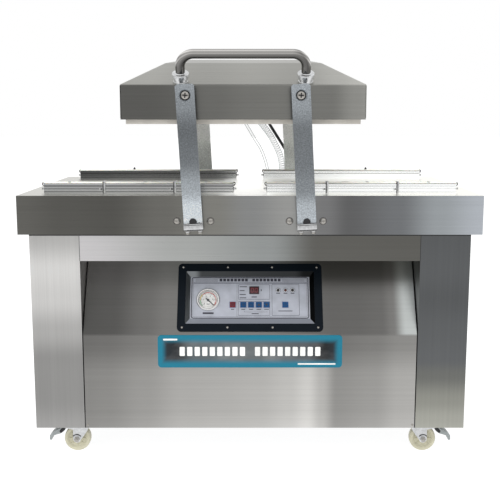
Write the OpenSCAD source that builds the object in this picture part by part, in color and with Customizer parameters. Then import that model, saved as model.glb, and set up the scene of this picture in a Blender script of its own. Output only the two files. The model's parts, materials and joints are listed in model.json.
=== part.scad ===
// Double-chamber vacuum sealer: one lid on four parallel arms swings between two chambers.
// Millimetres. Origin on the floor under the middle of the machine, +X to the operator's right,
// +Y to the rear, +Z up. The lid is drawn raised, a few degrees left of its highest point.

/* [Table] */
// Width of the work table
table_w = 1250; // [1240:1:1260]
// Depth of the work table, front to rear
table_d = 690; // [688:1:700]
// Height of the work surface above the floor
table_z = 745; // [740:1:760]
// Height of the skirt that hangs round the table
skirt_h = 105; // [104:1:110]

/* [Cabinet] */
// Width of the cabinet
body_w = 1208; // [1200:1:1216]
// How far the cabinet's front and rear stand back from the skirt
body_set = 37; // [35:1:40]
// Height of the cabinet's lower edge above the floor
body_z = 83; // [80:1:86]
// Width of each front column
column_w = 137; // [132:1:140]
// Height of the front rail under the table
rail_h = 78; // [74:1:80]
// Height of the bend between the upright and the leaning front panel
bend_z = 355; // [354:1:360]
// Lean of the control face from upright, in degrees
lean = 30; // [28:1:32]
// Thickness of the cabinet's sheet
sheet = 2; // [1.5:0.5:2.5]

/* [Lid] */
// Width of the lid
lid_w = 650; // [640:1:654]
// Depth of the lid
lid_d = 674; // [670:1:676]
// Height of the lid's upright walls
lid_wall_h = 91; // [90:1:95]
// Wall thickness of the lid
lid_t = 3; // [2:0.5:4]
// How far the gasket hangs below the lid's steel edge
gasket_drop = 12; // [10:0.5:13]

/* [Arms] */
// Distance between an arm's two pivots
arm_len = 332; // [330:1:336]
// Distance between the left and right arm pivots
arm_pitch = 302; // [298:1:306]
// Width of an arm's flat bar
arm_w = 50; // [46:1:52]
// Thickness of an arm's flat bar
arm_t = 12; // [10:1:12]
// Tilt of the arms to the left as drawn, in degrees
rest_tilt = 3.1; // [0:0.1:5]

/* [Seal bars] */
// Length of each table seal bar
bar_len = 520; // [500:1:522]
// Distance from the middle of the machine to a bar's middle
bar_x = 306; // [304:1:308]
// Distance from the middle of the table to the front and rear bars
bar_y = 261; // [255:1:265]

/* [Casters] */
// Distance from the middle of the machine to a caster's swivel, to the side
caster_x = 477; // [476:1:486]
// Distance from the middle of the machine to a caster's swivel, front and rear
caster_y = 258; // [250:1:262]
// Diameter of a caster's wheel
wheel_dia = 75; // [72:1:75]
// Distance from a caster's swivel to its axle
trail = 20; // [18:1:24]

/* [Hidden] */
$fn = 48;
free_gap = 0.3;                       // between pieces that move past each other
run_gap = 0.05;                       // radial clearance of a shaft in its bearing
past = 1;                             // how far a cut runs beyond the face it opens

front = -table_d / 2;
skirt_z = table_z - skirt_h;
skirt_t = 3;
body_front = front + body_set;
rail_z = skirt_z - rail_h;
column_in = body_w / 2 - column_w;    // a front column's inner edge
floor_z = 100;                        // top of the casters
floor_t = 3;
rear_screw_x = [-560, -190, 190, 560];
rear_screw_z = [body_z + 22, skirt_z - 18];

pivot_x = arm_pitch / 2;
pivot_z = table_z - 68;
shaft_r = 10;
bolt_pitch = 90;                      // two-bolt flange bearing for a 20 mm shaft
bearing_t = 12;
boss_t = 26;
spring_l = 96;
spring_r = [21, 29];
arm_in = table_d / 2 + 12;            // from the middle to an arm's inner face
arm_out = arm_in + arm_t;
arm_top = 29;                         // from the top pivot to an arm's end
cap_z = -5;                           // the arm ends here, half way down the shaft
cap_h = 15;
cap_screw_pitch = 33;

lid_x = -arm_len * sin(rest_tilt);
top_pivot_z = pivot_z + arm_len * cos(rest_tilt);
lid_pivot_h = 62.5;                   // from the lid's steel edge up to its pivots
lid_z = top_pivot_z - lid_pivot_h;
bevel_in = 110;                       // how far the sloped faces reach in, and rise
bevel_up = 61;
crown_in = 160;
crown_up = [73, 80];                  // rise of the shallow crown at crown_in and in the middle
bevel_tilt = atan(bevel_up / bevel_in);
gasket_w = 12;
gasket_in = 13;
rim_w = 30;
handle_pitch = 330;
handle_foot = 20;                     // from the lid's crease up the slope to the handle's feet
handle_h = 77.5;
tube_r = 12.5;
tube_bend = 48;

bar_h = 26;
bar_t = 28;
strip_h = 5;
heat_bar_h = 26;
heat_lift = 29;                       // raised heat bar above the lid's steel edge

pod_mid = 108;                        // middle of the control pod, up the slope from the bend
bezel = [408, 200, 4];
bezel_screw_x = [-190, -63, 63, 190];
tray_mouth = [364, 156];
tray_floor = [339, 124];
tray_depth = 12;
tray_up = 3;                          // the pan's floor above the middle of its mouth
panel_t = 2;
key_size = 16;
key_proud = 0.6;
key_travel = 0.4;
key_row = -18;                        // the row of keys, from the pod's middle
key_x = [-49, -19, 3, 25, 47, 100];
gauge_at = [-119, -3];
gauge_r = 30;
gauge_face_z = -18;
display_at = [12, 25];
lamp_x = [80, 101, 121];

fitting_z = 72;                       // the lid's rear fittings above its steel edge
lane_y = table_d / 2 + 43;            // the lid's hoses hang in this plane, behind the rear arms
outlet_z = 600;
thin_r = 5;
thick_r = 10;
cable_r = 5;
// Each route runs down from the lid's fitting to the cabinet's, in the plane of the hoses.
thin_route = [[-52, 991], [-52, 982], [-45, 963], [-30, 945], [-14, 924], [17, 872], [36, 842],
              [51, 806], [61, 770], [68, 730], [72, 690], [72, 660], [72, 640]];
thick_route = [[2, 991], [2, 982], [9, 961], [26, 940], [43, 922], [69, 888], [87, 856],
               [101, 827], [109, 799], [112, 760], [112, 720], [112, 680], [112, 640]];
cable_route = [[38, 991], [38, 982], [44, 963], [56, 943], [69, 922], [95, 881], [120, 841],
               [140, 800], [150, 760], [155, 720], [156, 680], [156, 640]];

steel = [0.60, 0.60, 0.58];
dull_steel = [0.42, 0.43, 0.42];
plated = [0.58, 0.60, 0.64];
zinc = [0.80, 0.81, 0.80];
black = [0.06, 0.06, 0.07];
aluminium = [0.76, 0.77, 0.78];
ivory = [0.86, 0.83, 0.66];
silicone = [0.90, 0.88, 0.84];
clear_hose = [0.80, 0.84, 0.84];
pump_grey = [0.35, 0.40, 0.44];
copper = [0.70, 0.40, 0.22];
teal = [0.15, 0.52, 0.60];

sides = [-1, 1];
corners = [[-1, -1], [1, -1], [-1, 1], [1, 1]];   // front left, front right, rear left, rear right

// ---------- places and shapes that repeat ----------

// A box given by its lowest and highest corners.
module span(a, b) { translate(a) cube(b - a); }

// A cylinder along +Y from y0 to y1.
module rod_y(r, y0, y1) { translate([0, y0, 0]) rotate([-90, 0, 0]) cylinder(r = r, h = y1 - y0); }

// A flat outline in X and Z, made thick along +Y from y0 to y1.
module slab_y(y0, y1) { translate([0, y1, 0]) rotate([90, 0, 0]) linear_extrude(y1 - y0) children(); }

// A flat outline in Y and Z, made thick along +X from x0 to x1.
module slab_x(x0, x1) {
    translate([x0, 0, 0]) rotate([90, 0, 90]) linear_extrude(x1 - x0) children();
}

// A rectangle with round corners, centred.
module round_rect(w, h, r) {
    square([w - 2 * r, h], center = true);
    square([w, h - 2 * r], center = true);
    for (x = sides, y = sides) translate([x * (w / 2 - r), y * (h / 2 - r)]) circle(r);
}

// A screw with a domed head on the plane z = 0 and its shank below.
module domed_screw(head_r, head_h, shank_r, shank_l) {
    ball_r = (head_r * head_r + head_h * head_h) / (2 * head_h);
    intersection() {
        translate([0, 0, head_h - ball_r]) sphere(ball_r);
        cylinder(r = head_r, h = head_h);
    }
    translate([0, 0, -shank_l]) cylinder(r = shank_r, h = shank_l + head_h / 2);
}

// The left side as modelled, and the right as its mirror image.
module on_side(s) { mirror([s > 0 ? 0 : 1, 0, 0]) children(); }

// The middle of the control pod on the leaning face: x across, y up the slope, z outwards.
module on_pod() {
    translate([0, body_front, bend_z]) rotate([90 - lean, 0, 0]) translate([0, pod_mid, 0]) children();
}

// The middle of the lid's lower steel edge.
module on_lid() { translate([lid_x, 0, lid_z]) children(); }

// The crease at the foot of the lid's front slope: x across, y up the slope, z outwards.
module on_bevel() { on_lid() translate([0, -lid_d / 2, lid_wall_h]) rotate([bevel_tilt, 0, 0]) children(); }

// An arm pair's shaft, with z up along the arm. s is -1 for the left pair, 1 for the right.
module on_arm(s) { translate([s * pivot_x, 0, pivot_z]) rotate([0, -rest_tilt, 0]) children(); }

// A caster's swivel axis on the floor, with x towards its trailing wheel.
module on_caster(c) {
    translate([c[0] * caster_x, c[1] * caster_y, 0]) mirror([c[0] > 0 ? 0 : 1, 0, 0]) children();
}

// A pipe elbow that leaves a wall along +Y and turns up (turn = 1) or down (turn = -1).
module elbow(r, reach, bend, turn, mouth) mirror([0, 0, turn > 0 ? 0 : 1]) {
    rod_y(r, 0, reach - bend);
    translate([0, reach - bend, bend]) rotate([0, 90, 0])
        rotate_extrude(angle = 90) translate([bend, 0]) circle(r);
    translate([0, reach, bend]) cylinder(r = r, h = mouth);
}

// A tube of radius r with n sides, swept along the points p.
function unit(v) = v / norm(v);
function tangent(p, i) = unit(p[min(i + 1, len(p) - 1)] - p[max(i - 1, 0)]);
function ring(p, i, r, n) =
    let (t = tangent(p, i), u = unit(cross(t, [0, 1, 0])), v = cross(t, u))
    [for (k = [0 : n - 1]) p[i] + r * (cos(360 * k / n) * u + sin(360 * k / n) * v)];
module sweep(p, r, n) {
    last = len(p) - 1;
    walls = [for (i = [0 : last - 1], k = [0 : n - 1]) let (a = i * n, b = (k + 1) % n)
        [a + k, a + n + k, a + n + b, a + b]];
    ends = [[for (k = [0 : n - 1]) k], [for (k = [n - 1 : -1 : 0]) last * n + k]];
    polyhedron([for (i = [0 : last]) each ring(p, i, r, n)], concat(walls, ends));
}

// Points of a smooth curve through q, with steps points to each stretch.
function curve_at(a, b, c, d, t) =
    0.5 * (2 * b + (c - a) * t + (2 * a - 5 * b + 4 * c - d) * t * t + (3 * b - 3 * c + d - a) * t * t * t);
function smooth(q, steps) = concat(
    [for (i = [0 : len(q) - 2], s = [0 : steps - 1])
        curve_at(q[max(i - 1, 0)], q[i], q[i + 1], q[min(i + 2, len(q) - 1)], s / steps)],
    [q[len(q) - 1]]);
function in_lane(route) = [for (p = route) [p[0], lane_y, p[1]]];

// ---------- table and cabinet ----------

module table_top() color(steel) difference() {
    span([-table_w / 2, front, skirt_z], [table_w / 2, -front, table_z]);
    span([-table_w / 2 + skirt_t, front + skirt_t, skirt_z + skirt_t],
         [table_w / 2 - skirt_t, -front - skirt_t, table_z - 4]);
    span([-table_w / 2 + 50, front + 50, skirt_z - past],
         [table_w / 2 - 50, -front - 50, skirt_z + skirt_t + past]);
    for (s = sides) translate([s * pivot_x, 0, pivot_z]) {
        rod_y(13, front - past, -front + past);
        for (b = sides) translate([b * bolt_pitch / 2, 0, 0]) rod_y(5.2, front - past, -front + past);
    }
    for (s = sides) translate([s * bar_x, 120, table_z - 5]) cylinder(r = 17, h = 6);
}

// The floor plate that carries the pump, and the box ribs that stiffen the table.
module chassis() color(dull_steel) {
    span([-body_w / 2 + sheet, body_front + sheet, floor_z],
         [body_w / 2 - sheet, -body_front - sheet, floor_z + floor_t]);
    for (y = [-150, 0, 150]) difference() {
        span([-600, y - 15, table_z - 44], [600, y + 15, table_z - 4]);
        span([-600 - past, y - 12, table_z - 41], [600 + past, y + 12, table_z - 7]);
    }
}

// A folded sheet: front column, side, rear return, and the column's inner return.
module side_panel(s) color(steel) on_side(s) {
    translate([0, 0, body_z]) linear_extrude(skirt_z - body_z) {
        translate([column_in, body_front]) square([column_w, sheet]);
        translate([body_w / 2 - sheet, body_front]) square([sheet, -2 * body_front]);
        translate([column_in, -body_front - sheet]) square([column_w, sheet]);
    }
    span([column_in, body_front, floor_z + floor_t], [column_in + sheet, body_front + 130, skirt_z]);
}

module front_rail() color(steel) slab_x(-column_in, column_in) {
    translate([body_front, rail_z]) square([sheet, rail_h]);
    translate([body_front, rail_z]) square([125, sheet]);
}

// The front between the columns: upright below the bend, leaning back above it.
module front_panel() {
    run = (rail_z - bend_z) * tan(lean);
    back = sheet / cos(lean);
    color(steel) difference() {
        slab_x(-column_in + 3, column_in - 3) polygon([
            [body_front, body_z], [body_front, bend_z], [body_front + run, rail_z],
            [body_front + run + back, rail_z], [body_front + sheet, bend_z - sheet * tan(lean / 2)],
            [body_front + sheet, body_z]]);
        on_pod() translate([0, 0, -20]) {
            linear_extrude(40) square([372, 164], center = true);
            for (x = bezel_screw_x, y = sides) translate([x, y * 89, 0]) cylinder(r = 2, h = 40);
        }
        for (x = sides) translate([x * (column_in - 8), 0, body_z + 9])
            rod_y(1.5, body_front - past, body_front + sheet + past);
    }
}

module rear_panel() color(steel) difference() {
    span([-body_w / 2 + 24, -body_front, body_z + 7], [body_w / 2 - 24, -body_front + sheet, skirt_z - 3]);
    for (row = [0 : 7], x = [-330, -210, -90])
        translate([x, -body_front, 180 + row * 18]) span([-45, -past, -2.5], [45, 3, 2.5]);
    for (x = [72, 112, 156]) translate([x, 0, outlet_z]) rod_y(x == 112 ? 9 : 5, -body_front - past, -body_front + 3);
    translate([480, 0, 180]) rod_y(9, -body_front - past, -body_front + 3);
    for (x = rear_screw_x, z = rear_screw_z)
        translate([x, 0, z]) rod_y(2, -body_front - past, -body_front + 3);
}

module bearing_housings() color(dull_steel) for (s = sides, e = sides)
    translate([s * pivot_x, 0, pivot_z]) mirror([0, e > 0 ? 1 : 0, 0]) translate([0, front + skirt_t, 0])
        difference() {
            union() {
                slab_y(0, bearing_t) {
                    circle(30);
                    for (b = sides) translate([b * bolt_pitch / 2, 0]) circle(12);
                    polygon([[-50, -10.9], [-13, -27], [13, -27], [50, -10.9],
                             [50, 10.9], [13, 27], [-13, 27], [-50, 10.9]]);
                }
                rod_y(24, 0, boss_t);
            }
            rod_y(shaft_r + run_gap, -past, boss_t + past);
            for (b = sides) translate([b * bolt_pitch / 2, 0, 0]) rod_y(4.1, -past, bearing_t + past);
        }

// Bearing bolts, bezel screws, panel screws and the casters' bolts.
module fasteners() color(plated) {
    for (s = sides, e = sides, b = sides)
        translate([s * pivot_x + b * bolt_pitch / 2, e * table_d / 2, pivot_z])
            rotate([-90 * e, 0, 0]) domed_screw(8, 5, 4, 14);
    on_pod() for (x = bezel_screw_x, y = sides)
        translate([x, y * 89, bezel[2]]) domed_screw(4.5, 2.2, 2, 8);
    for (x = sides) translate([x * (column_in - 8), body_front, body_z + 9])
        rotate([90, 0, 0]) domed_screw(3.5, 1.8, 1.5, sheet);
    for (x = rear_screw_x, z = rear_screw_z)
        translate([x, -body_front + sheet, z]) rotate([-90, 0, 0]) domed_screw(5, 2.5, 2, 2);
}

// Four aluminium bars across the chambers; the front pair carries two bag clips each.
module seal_bars() color(aluminium) for (s = sides, e = sides) translate([s * bar_x, e * bar_y, table_z]) {
    slab_x(-bar_len / 2, bar_len / 2) {
        translate([-bar_t / 2, 0]) square([bar_t, 9]);
        translate([-bar_t / 2 + 2, 9]) square([bar_t - 4, 6]);
        translate([-bar_t / 2, 15]) square([bar_t, bar_h - 15]);
    }
    if (e < 0) for (x = [-97, 97]) {
        span([x - 6, -bar_t / 2 - 2, 0.5], [x + 6, -bar_t / 2, bar_h + strip_h + 2]);
        span([x - 6, -bar_t / 2 - 2, bar_h + strip_h], [x + 6, bar_t / 2, bar_h + strip_h + 2]);
    }
}

module silicone_strips() color(silicone) for (s = sides, e = sides)
    translate([s * bar_x, e * bar_y, table_z + bar_h])
        span([-bar_len / 2 - 3, -bar_t / 2 + 2, 0], [bar_len / 2 + 3, bar_t / 2 - 2, strip_h]);

// ---------- control pod ----------

module bezel() color(black) on_pod() difference() {
    linear_extrude(bezel[2]) difference() {
        round_rect(bezel[0], bezel[1], 12);
        round_rect(tray_mouth[0], tray_mouth[1], 4);
    }
    for (x = bezel_screw_x, y = sides) translate([x, y * 89, -past]) cylinder(r = 2.2, h = bezel[2] + 2);
}

// A pan behind the bezel with leaning walls, and a hole for the gauge.
module control_tray() color(steel) on_pod() difference() {
    translate([0, 0, -16]) linear_extrude(16) square([tray_mouth[0] + 4, tray_mouth[1] + 4], center = true);
    hull() {
        translate([0, tray_up, -tray_depth]) linear_extrude(0.1) square(tray_floor, center = true);
        linear_extrude(past) square(tray_mouth, center = true);
    }
    translate([0, tray_up, -tray_depth - panel_t])
        linear_extrude(panel_t + past) square(tray_floor, center = true);
    translate([gauge_at[0], gauge_at[1], -17]) cylinder(r = gauge_r + run_gap, h = 18);
}

module membrane_panel() color([0.80, 0.79, 0.82]) on_pod() translate([0, 0, -tray_depth - panel_t])
    difference() {
        translate([0, tray_up, 0]) linear_extrude(panel_t) square(tray_floor, center = true);
        translate([gauge_at[0], gauge_at[1], -past]) cylinder(r = gauge_r + run_gap, h = panel_t + 2);
        for (x = key_x) translate([x, key_row, 0])
            translate([0, 0, -past]) linear_extrude(panel_t + 2) square(key_size + 2 * free_gap, center = true);
        translate([display_at[0], display_at[1], -past]) linear_extrude(panel_t + 2) square([26, 21], center = true);
        for (x = lamp_x) translate([x, display_at[1], -past]) cylinder(r = 3.1, h = panel_t + 2);
    }

// A vacuum gauge: a cup through the panel with a rim, a dial at its bottom and a pin.
module gauge_case() color(steel) on_pod() translate([gauge_at[0], gauge_at[1], 0]) {
    difference() {
        union() {
            translate([0, 0, -44]) cylinder(r = gauge_r, h = 34);
            translate([0, 0, -tray_depth]) cylinder(r = gauge_r + 2, h = 4);
        }
        translate([0, 0, gauge_face_z]) cylinder(r = gauge_r - 2.5, h = 20);
    }
    translate([0, 0, gauge_face_z]) cylinder(r = 1.5, h = 4);
}

module gauge_needle() color(black) on_pod()
    translate([gauge_at[0], gauge_at[1], gauge_face_z + 1]) rotate([0, 0, -42]) difference() {
        union() {
            cylinder(r = 3.5, h = 2);
            linear_extrude(1) polygon([[-9, -1.3], [-9, 1.3], [0, 1.6], [23, 0.4], [23, -0.4], [0, -1.6]]);
        }
        translate([0, 0, -past]) cylinder(r = 1.5 + run_gap, h = 4);
    }

// The gauge's glass, the number display and three lamps.
module panel_lenses() color([0.75, 0.10, 0.10]) on_pod() {
    translate([gauge_at[0], gauge_at[1], -10.5]) cylinder(r = gauge_r - 2.5, h = 1.5);
    translate([display_at[0], display_at[1], -tray_depth - panel_t]) linear_extrude(panel_t + 0.5)
        square([26, 21], center = true);
    for (x = lamp_x) translate([x, display_at[1], -tray_depth - panel_t]) {
        cylinder(r = 3, h = panel_t + 0.5);
        translate([0, 0, panel_t + 0.5]) intersection() { sphere(3); cylinder(r = 3, h = 3); }
    }
}

module key_cap(x, paint) color(paint) on_pod()
    translate([x, key_row, -tray_depth - panel_t + key_travel + free_gap])
        linear_extrude(panel_t - key_travel - free_gap + key_proud) square(key_size, center = true);

module key_stop() key_cap(key_x[0], [0.75, 0.15, 0.12]);
module key_vacuum() key_cap(key_x[1], [0.12, 0.35, 0.65]);
module key_seal() key_cap(key_x[2], [0.12, 0.35, 0.65]);
module key_up() key_cap(key_x[3], [0.12, 0.35, 0.65]);
module key_down() key_cap(key_x[4], [0.12, 0.35, 0.65]);
module key_power() key_cap(key_x[5], [0.12, 0.35, 0.65]);

module name_plate() color(teal) translate([0, body_front, (260 + bend_z - 2) / 2])
    slab_y(-1.5, 0) round_rect(514, bend_z - 262, 10);

// ---------- inside the cabinet ----------

// An oil-sealed rotary vane pump with its exhaust filter box, sight glass and inlet.
module vacuum_pump() color(pump_grey) translate([-300, 60, floor_z + floor_t]) {
    for (y = sides) span([-130, y * 70 - 12, 0], [130, y * 70 + 12, 20]);
    span([-130, -85, 20], [60, 85, 190]);
    span([-120, -75, 190], [50, 75, 235]);
    for (i = [0 : 5]) span([-100 + i * 26, -90, 40], [-92 + i * 26, -85, 170]);
    translate([-60, 0, 235]) cylinder(r = 26, h = 30);
    translate([-60, -85, 70]) rod_y(18, -12, 0);
    span([60, -60, 30], [72, 60, 180]);
}

// The pump's flanged motor with cooling ribs, fan cowl and terminal box.
module pump_motor() color([0.25, 0.30, 0.36]) translate([-228, 60, floor_z + floor_t + 105])
    rotate([0, 90, 0]) {
        cylinder(r = 72, h = 12);
        translate([0, 0, 12]) cylinder(r = 62, h = 170);
        for (k = [0 : 15]) rotate([0, 0, k * 22.5]) span([60, -1.5, 20], [71, 1.5, 165]);
        translate([0, 0, 182]) cylinder(r = 73, h = 50);
        span([-105, -40, 60], [-60, 40, 130]);
    }

// The sealing transformer: laminated core, two windings and a terminal strip.
module transformer() color(copper) translate([160, 150, floor_z + floor_t]) {
    difference() {
        span([-75, -35, 0], [75, 35, 125]);
        for (s = sides) span([s * 30 - 15, -36, 25], [s * 30 + 15, 36, 100]);
    }
    for (s = sides) span([s * 60 - 14.5, -50, 26], [s * 60 + 14.5, -35, 99]);
    span([-60, -20, 125], [60, 20, 140]);
}

// The manifold with its solenoid valves on a bracket from the floor.
module valve_block() color(aluminium) translate([230, -60, floor_z + floor_t]) {
    span([-12, -60, 0], [-6, 60, 190]);
    span([-6, -70, 150], [34, 70, 190]);
    for (y = [-50, 0, 50]) {
        translate([14, y, 190]) cylinder(r = 14, h = 45);
        translate([14, y, 235]) cylinder(r = 5, h = 8);
    }
    translate([34, 0, 170]) rotate([0, 90, 0]) cylinder(r = 12, h = 20);
}

// Torsion springs on the two shafts: each coil's outer shape, between bearing and collar.
module balance_springs() color(plated) for (s = sides, e = sides)
    translate([s * pivot_x, 0, pivot_z]) mirror([0, e > 0 ? 1 : 0, 0])
        translate([0, front + skirt_t + boss_t, 0]) difference() {
            rod_y(spring_r[1], 0, spring_l);
            rod_y(spring_r[0], -past, spring_l + past);
        }

// ---------- hoses ----------

// Elbows for the hoses and the lid's cable, and the gland for the mains lead.
module rear_fittings() color(black) {
    reach = lane_y + body_front - sheet;
    for (f = [[72, thin_r], [112, thick_r], [156, cable_r]])
        translate([f[0], -body_front + sheet, outlet_z]) {
            elbow(f[1], reach, 20, 1, 20);
            rod_y(f[1] + 6, 0, 8);
        }
    translate([480, -body_front + sheet, 180]) difference() {
        union() {
            rotate([-90, 0, 0]) cylinder(r = 13, h = 8, $fn = 6);
            rod_y(10.5, 8, 24);
        }
        rod_y(5, -past, 25);
    }
}

module hose_thin() color(clear_hose) sweep(smooth(in_lane(thin_route), 2), thin_r, 10);
module hose_thick() color(clear_hose) sweep(smooth(in_lane(thick_route), 1), thick_r, 12);
module lid_cable() color(black) sweep(smooth(in_lane(cable_route), 2), cable_r, 8);

module lid_fittings() color(black) on_lid() for (f = [[-52, thin_r], [2, thick_r], [38, cable_r]])
    translate([f[0] - lid_x, lid_d / 2, fitting_z]) {
        elbow(f[1], lane_y - lid_d / 2, 20, -1, lid_z + fitting_z - 20 - 992);
        rod_y(f[1] + 5, 0, 6);
    }

// ---------- arms ----------

module shaft(s) color(dull_steel) translate([s * pivot_x, 0, pivot_z]) {
    rod_y(shaft_r, -arm_out - 2, arm_out + 2);
    for (e = sides) mirror([0, e > 0 ? 1 : 0, 0]) translate([0, front + skirt_t + boss_t + spring_l, 0]) {
        rod_y(20, free_gap, 18);
        translate([0, 9, 0]) cylinder(r = 4, h = 26);
    }
}

// A flat bar with a half-round notch over the shaft and a counterbore for its pivot bolt.
// e is -1 for the front arm and 1 for the rear one; hole_r is the hole on the bolt's shoulder.
module arm(s, e, hole_r) color(plated) on_arm(s) mirror([0, e > 0 ? 1 : 0, 0]) difference() {
    slab_y(-arm_out, -arm_in) polygon([
        [-arm_w / 2, cap_z], [arm_w / 2, cap_z], [arm_w / 2, arm_len + arm_top - 5],
        [arm_w / 2 - 5, arm_len + arm_top], [-arm_w / 2 + 5, arm_len + arm_top],
        [-arm_w / 2, arm_len + arm_top - 5]]);
    rod_y(shaft_r + run_gap, -arm_out - past, -arm_in + past);
    translate([0, 0, arm_len]) {
        rod_y(hole_r, -arm_out - past, -arm_in + past);
        rod_y(15.5, -arm_out - past, -arm_out + 5);
    }
    for (b = sides) translate([b * cap_screw_pitch / 2, -arm_out + arm_t / 2, cap_z - past])
        cylinder(r = 4 + run_gap, h = 26);
}

// The caps under the shaft ends and the screws that pull them up.
module clamps(s) color(zinc) on_arm(s) for (e = sides) mirror([0, e > 0 ? 1 : 0, 0]) {
    difference() {
        span([-arm_w / 2, -arm_out, cap_z - cap_h], [arm_w / 2, -arm_in, cap_z - 0.2]);
        rod_y(shaft_r + run_gap, -arm_out - past, -arm_in + past);
        for (b = sides) translate([b * cap_screw_pitch / 2, -arm_out + arm_t / 2, cap_z - cap_h - past])
            cylinder(r = 4 + run_gap, h = cap_h + 2);
    }
    for (b = sides) translate([b * cap_screw_pitch / 2, -arm_out + arm_t / 2, cap_z - cap_h]) {
        cylinder(r = 4, h = cap_h + 20);
        translate([0, 0, -8]) cylinder(r = 5.8, h = 8);
    }
}

bolt_r = 10;
module shaft_left() shaft(-1);
module shaft_right() shaft(1);
module arm_front_left() arm(-1, -1, bolt_r + 0.35);
module arm_rear_left() arm(-1, 1, bolt_r + 0.35);
module arm_front_right() arm(1, -1, bolt_r + run_gap);
module arm_rear_right() arm(1, 1, bolt_r + run_gap);
module clamps_left() clamps(-1);
module clamps_right() clamps(1);

// ---------- lid ----------

// The lid's outline across a width of 2 * half, drawn t inside its outer face.
module lid_outline(half, t) {
    mid = bevel_tilt / 2;
    right = [
        [half - t, 0], [half - t, lid_wall_h - t * tan(mid)],
        [half - bevel_in - 0.3 * t, bevel_up + lid_wall_h - t],
        [half - crown_in, crown_up[0] + lid_wall_h - t]];
    polygon(concat(right, [[0, crown_up[1] + lid_wall_h - t]], [for (i = [3 : -1 : 0]) [-right[i][0], right[i][1]]]));
}

module lid_block(t) intersection() {
    slab_y(-lid_d / 2 + t, lid_d / 2 - t) lid_outline(lid_w / 2, t);
    slab_x(-lid_w / 2 + t, lid_w / 2 - t) lid_outline(lid_d / 2, t);
}

module lid_shell() color(steel) on_lid() difference() {
    lid_block(0);
    lid_block(lid_t);
    for (s = sides) translate([s * pivot_x, 0, lid_pivot_h]) rod_y(6.05, -lid_d, lid_d);
}

// The lid's inner frame: the flange inside the foot of its walls, which carries the gasket, and two
// inverted channels from wall to wall over the heat bars.
module lid_frame() color(steel) on_lid() {
    linear_extrude(lid_t) difference() {
        square([lid_w - 2 * lid_t, lid_d - 2 * lid_t], center = true);
        square([lid_w - 2 * rim_w, lid_d - 2 * rim_w], center = true);
    }
    for (e = sides) translate([0, e * bar_y, 0]) slab_x(-lid_w / 2 + lid_t, lid_w / 2 - lid_t)
        translate([0, heat_lift + heat_bar_h - 6]) difference() {
            translate([-13, 0]) square([26, 24]);
            translate([-10, -past]) square([20, 22]);
        }
}

module lid_gasket() color(silicone) on_lid() translate([0, 0, -gasket_drop]) linear_extrude(gasket_drop)
    difference() {
        square([lid_w - 2 * gasket_in, lid_d - 2 * gasket_in], center = true);
        square([lid_w - 2 * gasket_in - 2 * gasket_w, lid_d - 2 * gasket_in - 2 * gasket_w], center = true);
    }

// A bent tube on two feet, square to the lid's front slope.
module handle() color([0.80, 0.81, 0.82]) on_bevel() translate([0, handle_foot, 0]) {
    for (s = sides) translate([s * handle_pitch / 2, 0, 0]) {
        cylinder(r = 18.5, h = 15.5);
        translate([0, 0, 15.5]) cylinder(r = 22.5, h = 8);
        cylinder(r = tube_r, h = handle_h - tube_bend);
        translate([-s * tube_bend, 0, handle_h - tube_bend]) rotate([90, 0, 0])
            rotate([0, 0, s > 0 ? 0 : 90]) rotate_extrude(angle = 90) translate([tube_bend, 0]) circle(tube_r);
    }
    translate([-handle_pitch / 2 + tube_bend, 0, handle_h]) rotate([0, 90, 0])
        cylinder(r = tube_r, h = handle_pitch - 2 * tube_bend);
}

// Shoulder bolts through the arms' tops, each with a spacer against the lid's wall.
module pivot_bolts() color(plated) on_lid() for (s = sides, e = sides)
    translate([s * pivot_x, 0, lid_pivot_h]) mirror([0, e > 0 ? 1 : 0, 0]) {
        rod_y(12, -arm_out - 1, -arm_out + 4.7);
        rod_y(bolt_r, -arm_out + 4, -arm_in);
        rod_y(15, -arm_in + free_gap, -lid_d / 2);
        rod_y(6, -arm_in, -lid_d / 2 + 12);
        rod_y(11, -lid_d / 2 + lid_t, -lid_d / 2 + 12);
    }

module heat_bar(e) color(aluminium) on_lid() translate([0, e * bar_y, heat_lift]) {
    span([-253, -6, 0], [253, 6, heat_bar_h]);
    span([-250, -9, heat_bar_h - 4], [250, 9, heat_bar_h + 4]);
}
module heat_bar_front() heat_bar(-1);
module heat_bar_rear() heat_bar(1);

// ---------- casters ----------

axle_r = 5;
crown_z = 84;
brake_z = 82;                         // top of the brake, clear of the cabinet's lower edge
leg_y = 17;                           // from the wheel's middle to the middle of a fork leg
leg_t = 3;
pedal_at = [50, 77];                  // the brake pedal's pivot, from the swivel axis on the floor
pedal_pin_r = 3;

module caster_plates() color(zinc) for (c = corners) on_caster(c) difference() {
    span([-45, -38, floor_z - 6], [45, 38, floor_z]);
    translate([0, 0, floor_z - 7]) cylinder(r = 6 + run_gap, h = 8);
}

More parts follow.
